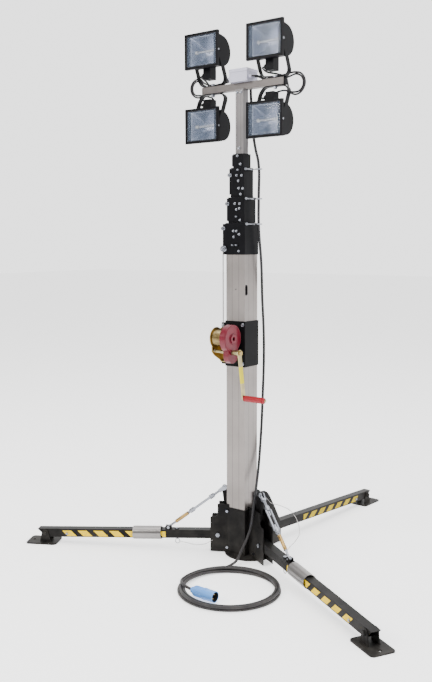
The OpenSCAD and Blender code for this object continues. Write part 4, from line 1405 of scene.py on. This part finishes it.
# ---------------------------------------------------------------- hub, legs and struts
@dataclass
class Undercarriage:
    """Hub, legs with their hazard tape, sleeves, feet and the struts with turnbuckles."""

    shop: Workshop
    pivot: tuple[float, float] = (148.0, 84.0)
    foot: tuple[float, float] = (990.0, 48.0)
    eye: tuple[float, float] = (120.0, 305.0)
    pin: tuple[float, float] = (386.0, 102.86)

    @staticmethod
    def at(number: int, reach: float, height: float, aside: float = 0.0) -> Array:
        """A point at a reach along a leg, a height, and off to its side."""
        return beside_leg(LEG_AZIMUTHS[number - 1], reach, aside, height)

    def leg_frame(self, number: int) -> tuple[Array, Array, Array, Array]:
        """A leg's pivot, its direction along its own slope, sideways, and square to both."""
        start = self.at(number, *self.pivot)
        ahead = unit(self.at(number, *self.foot) - start)
        side = level_frame(LEG_AZIMUTHS[number - 1])[1]
        return start, ahead, side, np.cross(ahead, side)

    def leg_paint(self, number: int) -> HazardPaint:
        """The leg's finish, its tape laid out along the leg's own slope."""
        start, ahead, side, up = self.leg_frame(number)
        # Painted shade: the third leg, which points to +Y behind the mast, gets the same tape yellow
        # at about half the brightness.
        yellow = (0.42, 0.30, 0.0) if number == 3 else (0.78, 0.52, 0.0)
        return HazardPaint(f"leg_paint_{number}", (0.0035, 0.0035, 0.004), 0.38, drift=0.25,
                           grain=700.0, scuffs=0.12, scuff_colour=(0.045, 0.035, 0.03), dust=0.06,
                           specular=0.06,
                           pivot=tuple(start * MM), outward=tuple(ahead), upward=tuple(up),
                           sideways=tuple(side), yellow=yellow)

    def strut_axis(self, number: int) -> tuple[Array, Array]:
        """The strut's upper pin and its direction down to the leg."""
        start = self.at(number, *self.eye)
        return start, unit(self.at(number, *self.pin) - start)

    def lock_tube(self, number: int) -> None:
        """Brass-coloured tube over the strut's lower rod, with a rolled groove at each end."""
        start, ahead = self.strut_axis(number)
        along = np.array([0, 1, 4, 5, 6, 70, 71, 72, 75, 76.0])
        radius = np.array([6, 8.3, 8.3, 7.9, 8.3, 8.3, 7.9, 8.3, 8.3, 6.0])
        shell = turned(start + 214 * ahead, ahead, along, radius, 40)
        self.shop.piece(f"lock_tube_{number}", shell, BRASS, f"strut_{number}", "strut_zinc")

    def threads(self, number: int) -> None:
        """Threads of the strut's two rods: the radius follows a saw wave of the distance plus
        the angle, so the ridge winds round the rod."""
        start, ahead = self.strut_axis(number)
        first, second = across(ahead)
        angle = np.linspace(0, 2 * math.pi, 20, endpoint=False)
        ring = np.cos(angle)[:, None] * first + np.sin(angle)[:, None] * second
        shells = []
        root, ridge, pitch = 5.05, 0.5, 2.0
        for begin, length in ((31, 34), (201, 12)):
            along = np.linspace(0, length, length * 4)
            wave = np.abs(((along[:, None] / pitch + angle[None, :] / (2 * math.pi)) % 1) * 2 - 1)
            reach = root + ridge * wave
            rows = start + (begin + along)[:, None] * ahead
            shells.append(Shell.from_grid(rows[:, None, :] + reach[:, :, None] * ring[None]))
        self.shop.piece(f"rod_threads_{number}", Shell.joined(shells), ZINC, f"strut_{number}",
                        "strut_zinc")

    def lock_nut(self, number: int) -> None:
        """Hexagon lock nuts at the turnbuckle's ends, which turn with it."""
        start, ahead = self.strut_axis(number)
        along = np.array([0.1, 0.3, 5.5, 6.2])
        radius = np.array([7.6, 8, 8, 7.2])
        hexness = np.array([0, 1, 1, 0])
        nuts = [turned(start + place * ahead, way * ahead, along, radius, 24, 6, hexness)
                for place, way in ((66, -1), (200, 1))]
        self.shop.piece(f"lock_nuts_{number}", Shell.joined(nuts), ZINC, f"buckle_{number}",
                        "strut_zinc")

    def weld(self, name: str, line: Array, body: str) -> None:
        """A weld bead: a round section whose line is rippled by the strands' groove."""
        shell = swept(line, 2.6, 10, strands=2, lay=5.0, groove=0.7)
        self.shop.piece(name, shell, BLACK, body, "black_steel")

    def foot_welds(self) -> None:
        """Beads where each foot's lugs meet its plate."""
        for number in (1, 2, 3):
            for side, name in ((-1, "near"), (1, "far")):
                ends = [self.at(number, self.foot[0] + r, 6.6, side * 27.4) for r in (-24, 24)]
                line = ends[0] + np.linspace(0, 1, 30)[:, None] * (ends[1] - ends[0])
                self.weld(f"foot_{number}_weld_{name}", line, f"foot_{number}")

    def leg_bolts(self) -> None:
        """A bolt on each side face of each leg, a little short of its foot."""
        for number in (1, 2, 3):
            start, ahead, side, up = self.leg_frame(number)
            middle = start + 735 * ahead - 4 * up
            heads = [fastener(middle + 20 * way * side, way * side, 10, 4.0, 13)
                     for way in (-1, 1)]
            self.shop.piece(f"leg_{number}_bolts", Shell.joined(heads), ZINC,
                            f"leg_{number}", "bolt_steel")

    def build(self) -> None:
        """Makes the pieces and dresses the nodes."""
        self.shop.dress("hub", BLACK)
        self.shop.dress("hub_bolts", ZINC)
        for number in (1, 2, 3):
            self.shop.dress(f"leg_{number}", self.leg_paint(number))
            self.shop.dress(f"foot_{number}", BLACK)
        for number in (1, 2):
            self.shop.dress(f"sleeve_{number}", STAINLESS)
            self.shop.dress(f"leg_pin_{number}", ZINC)
            self.shop.dress(f"strut_{number}", ZINC)
            self.shop.dress(f"buckle_{number}", ZINC)
            self.lock_tube(number)
            self.threads(number)
            self.lock_nut(number)
        self.foot_welds()
        self.leg_bolts()


def main() -> None:
    """Loads the frame and builds camera, cords, and each sub-assembly in order."""
    logging.basicConfig(level=logging.INFO, format="%(name)s %(message)s")
    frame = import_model()
    shop = Workshop(frame)
    Studio().build()
    Cables(shop).build()
    for assembly in (Mast(shop), Winch(shop), Head(shop), Undercarriage(shop)):
        assembly.build()


if __name__ == "__main__":
    main()
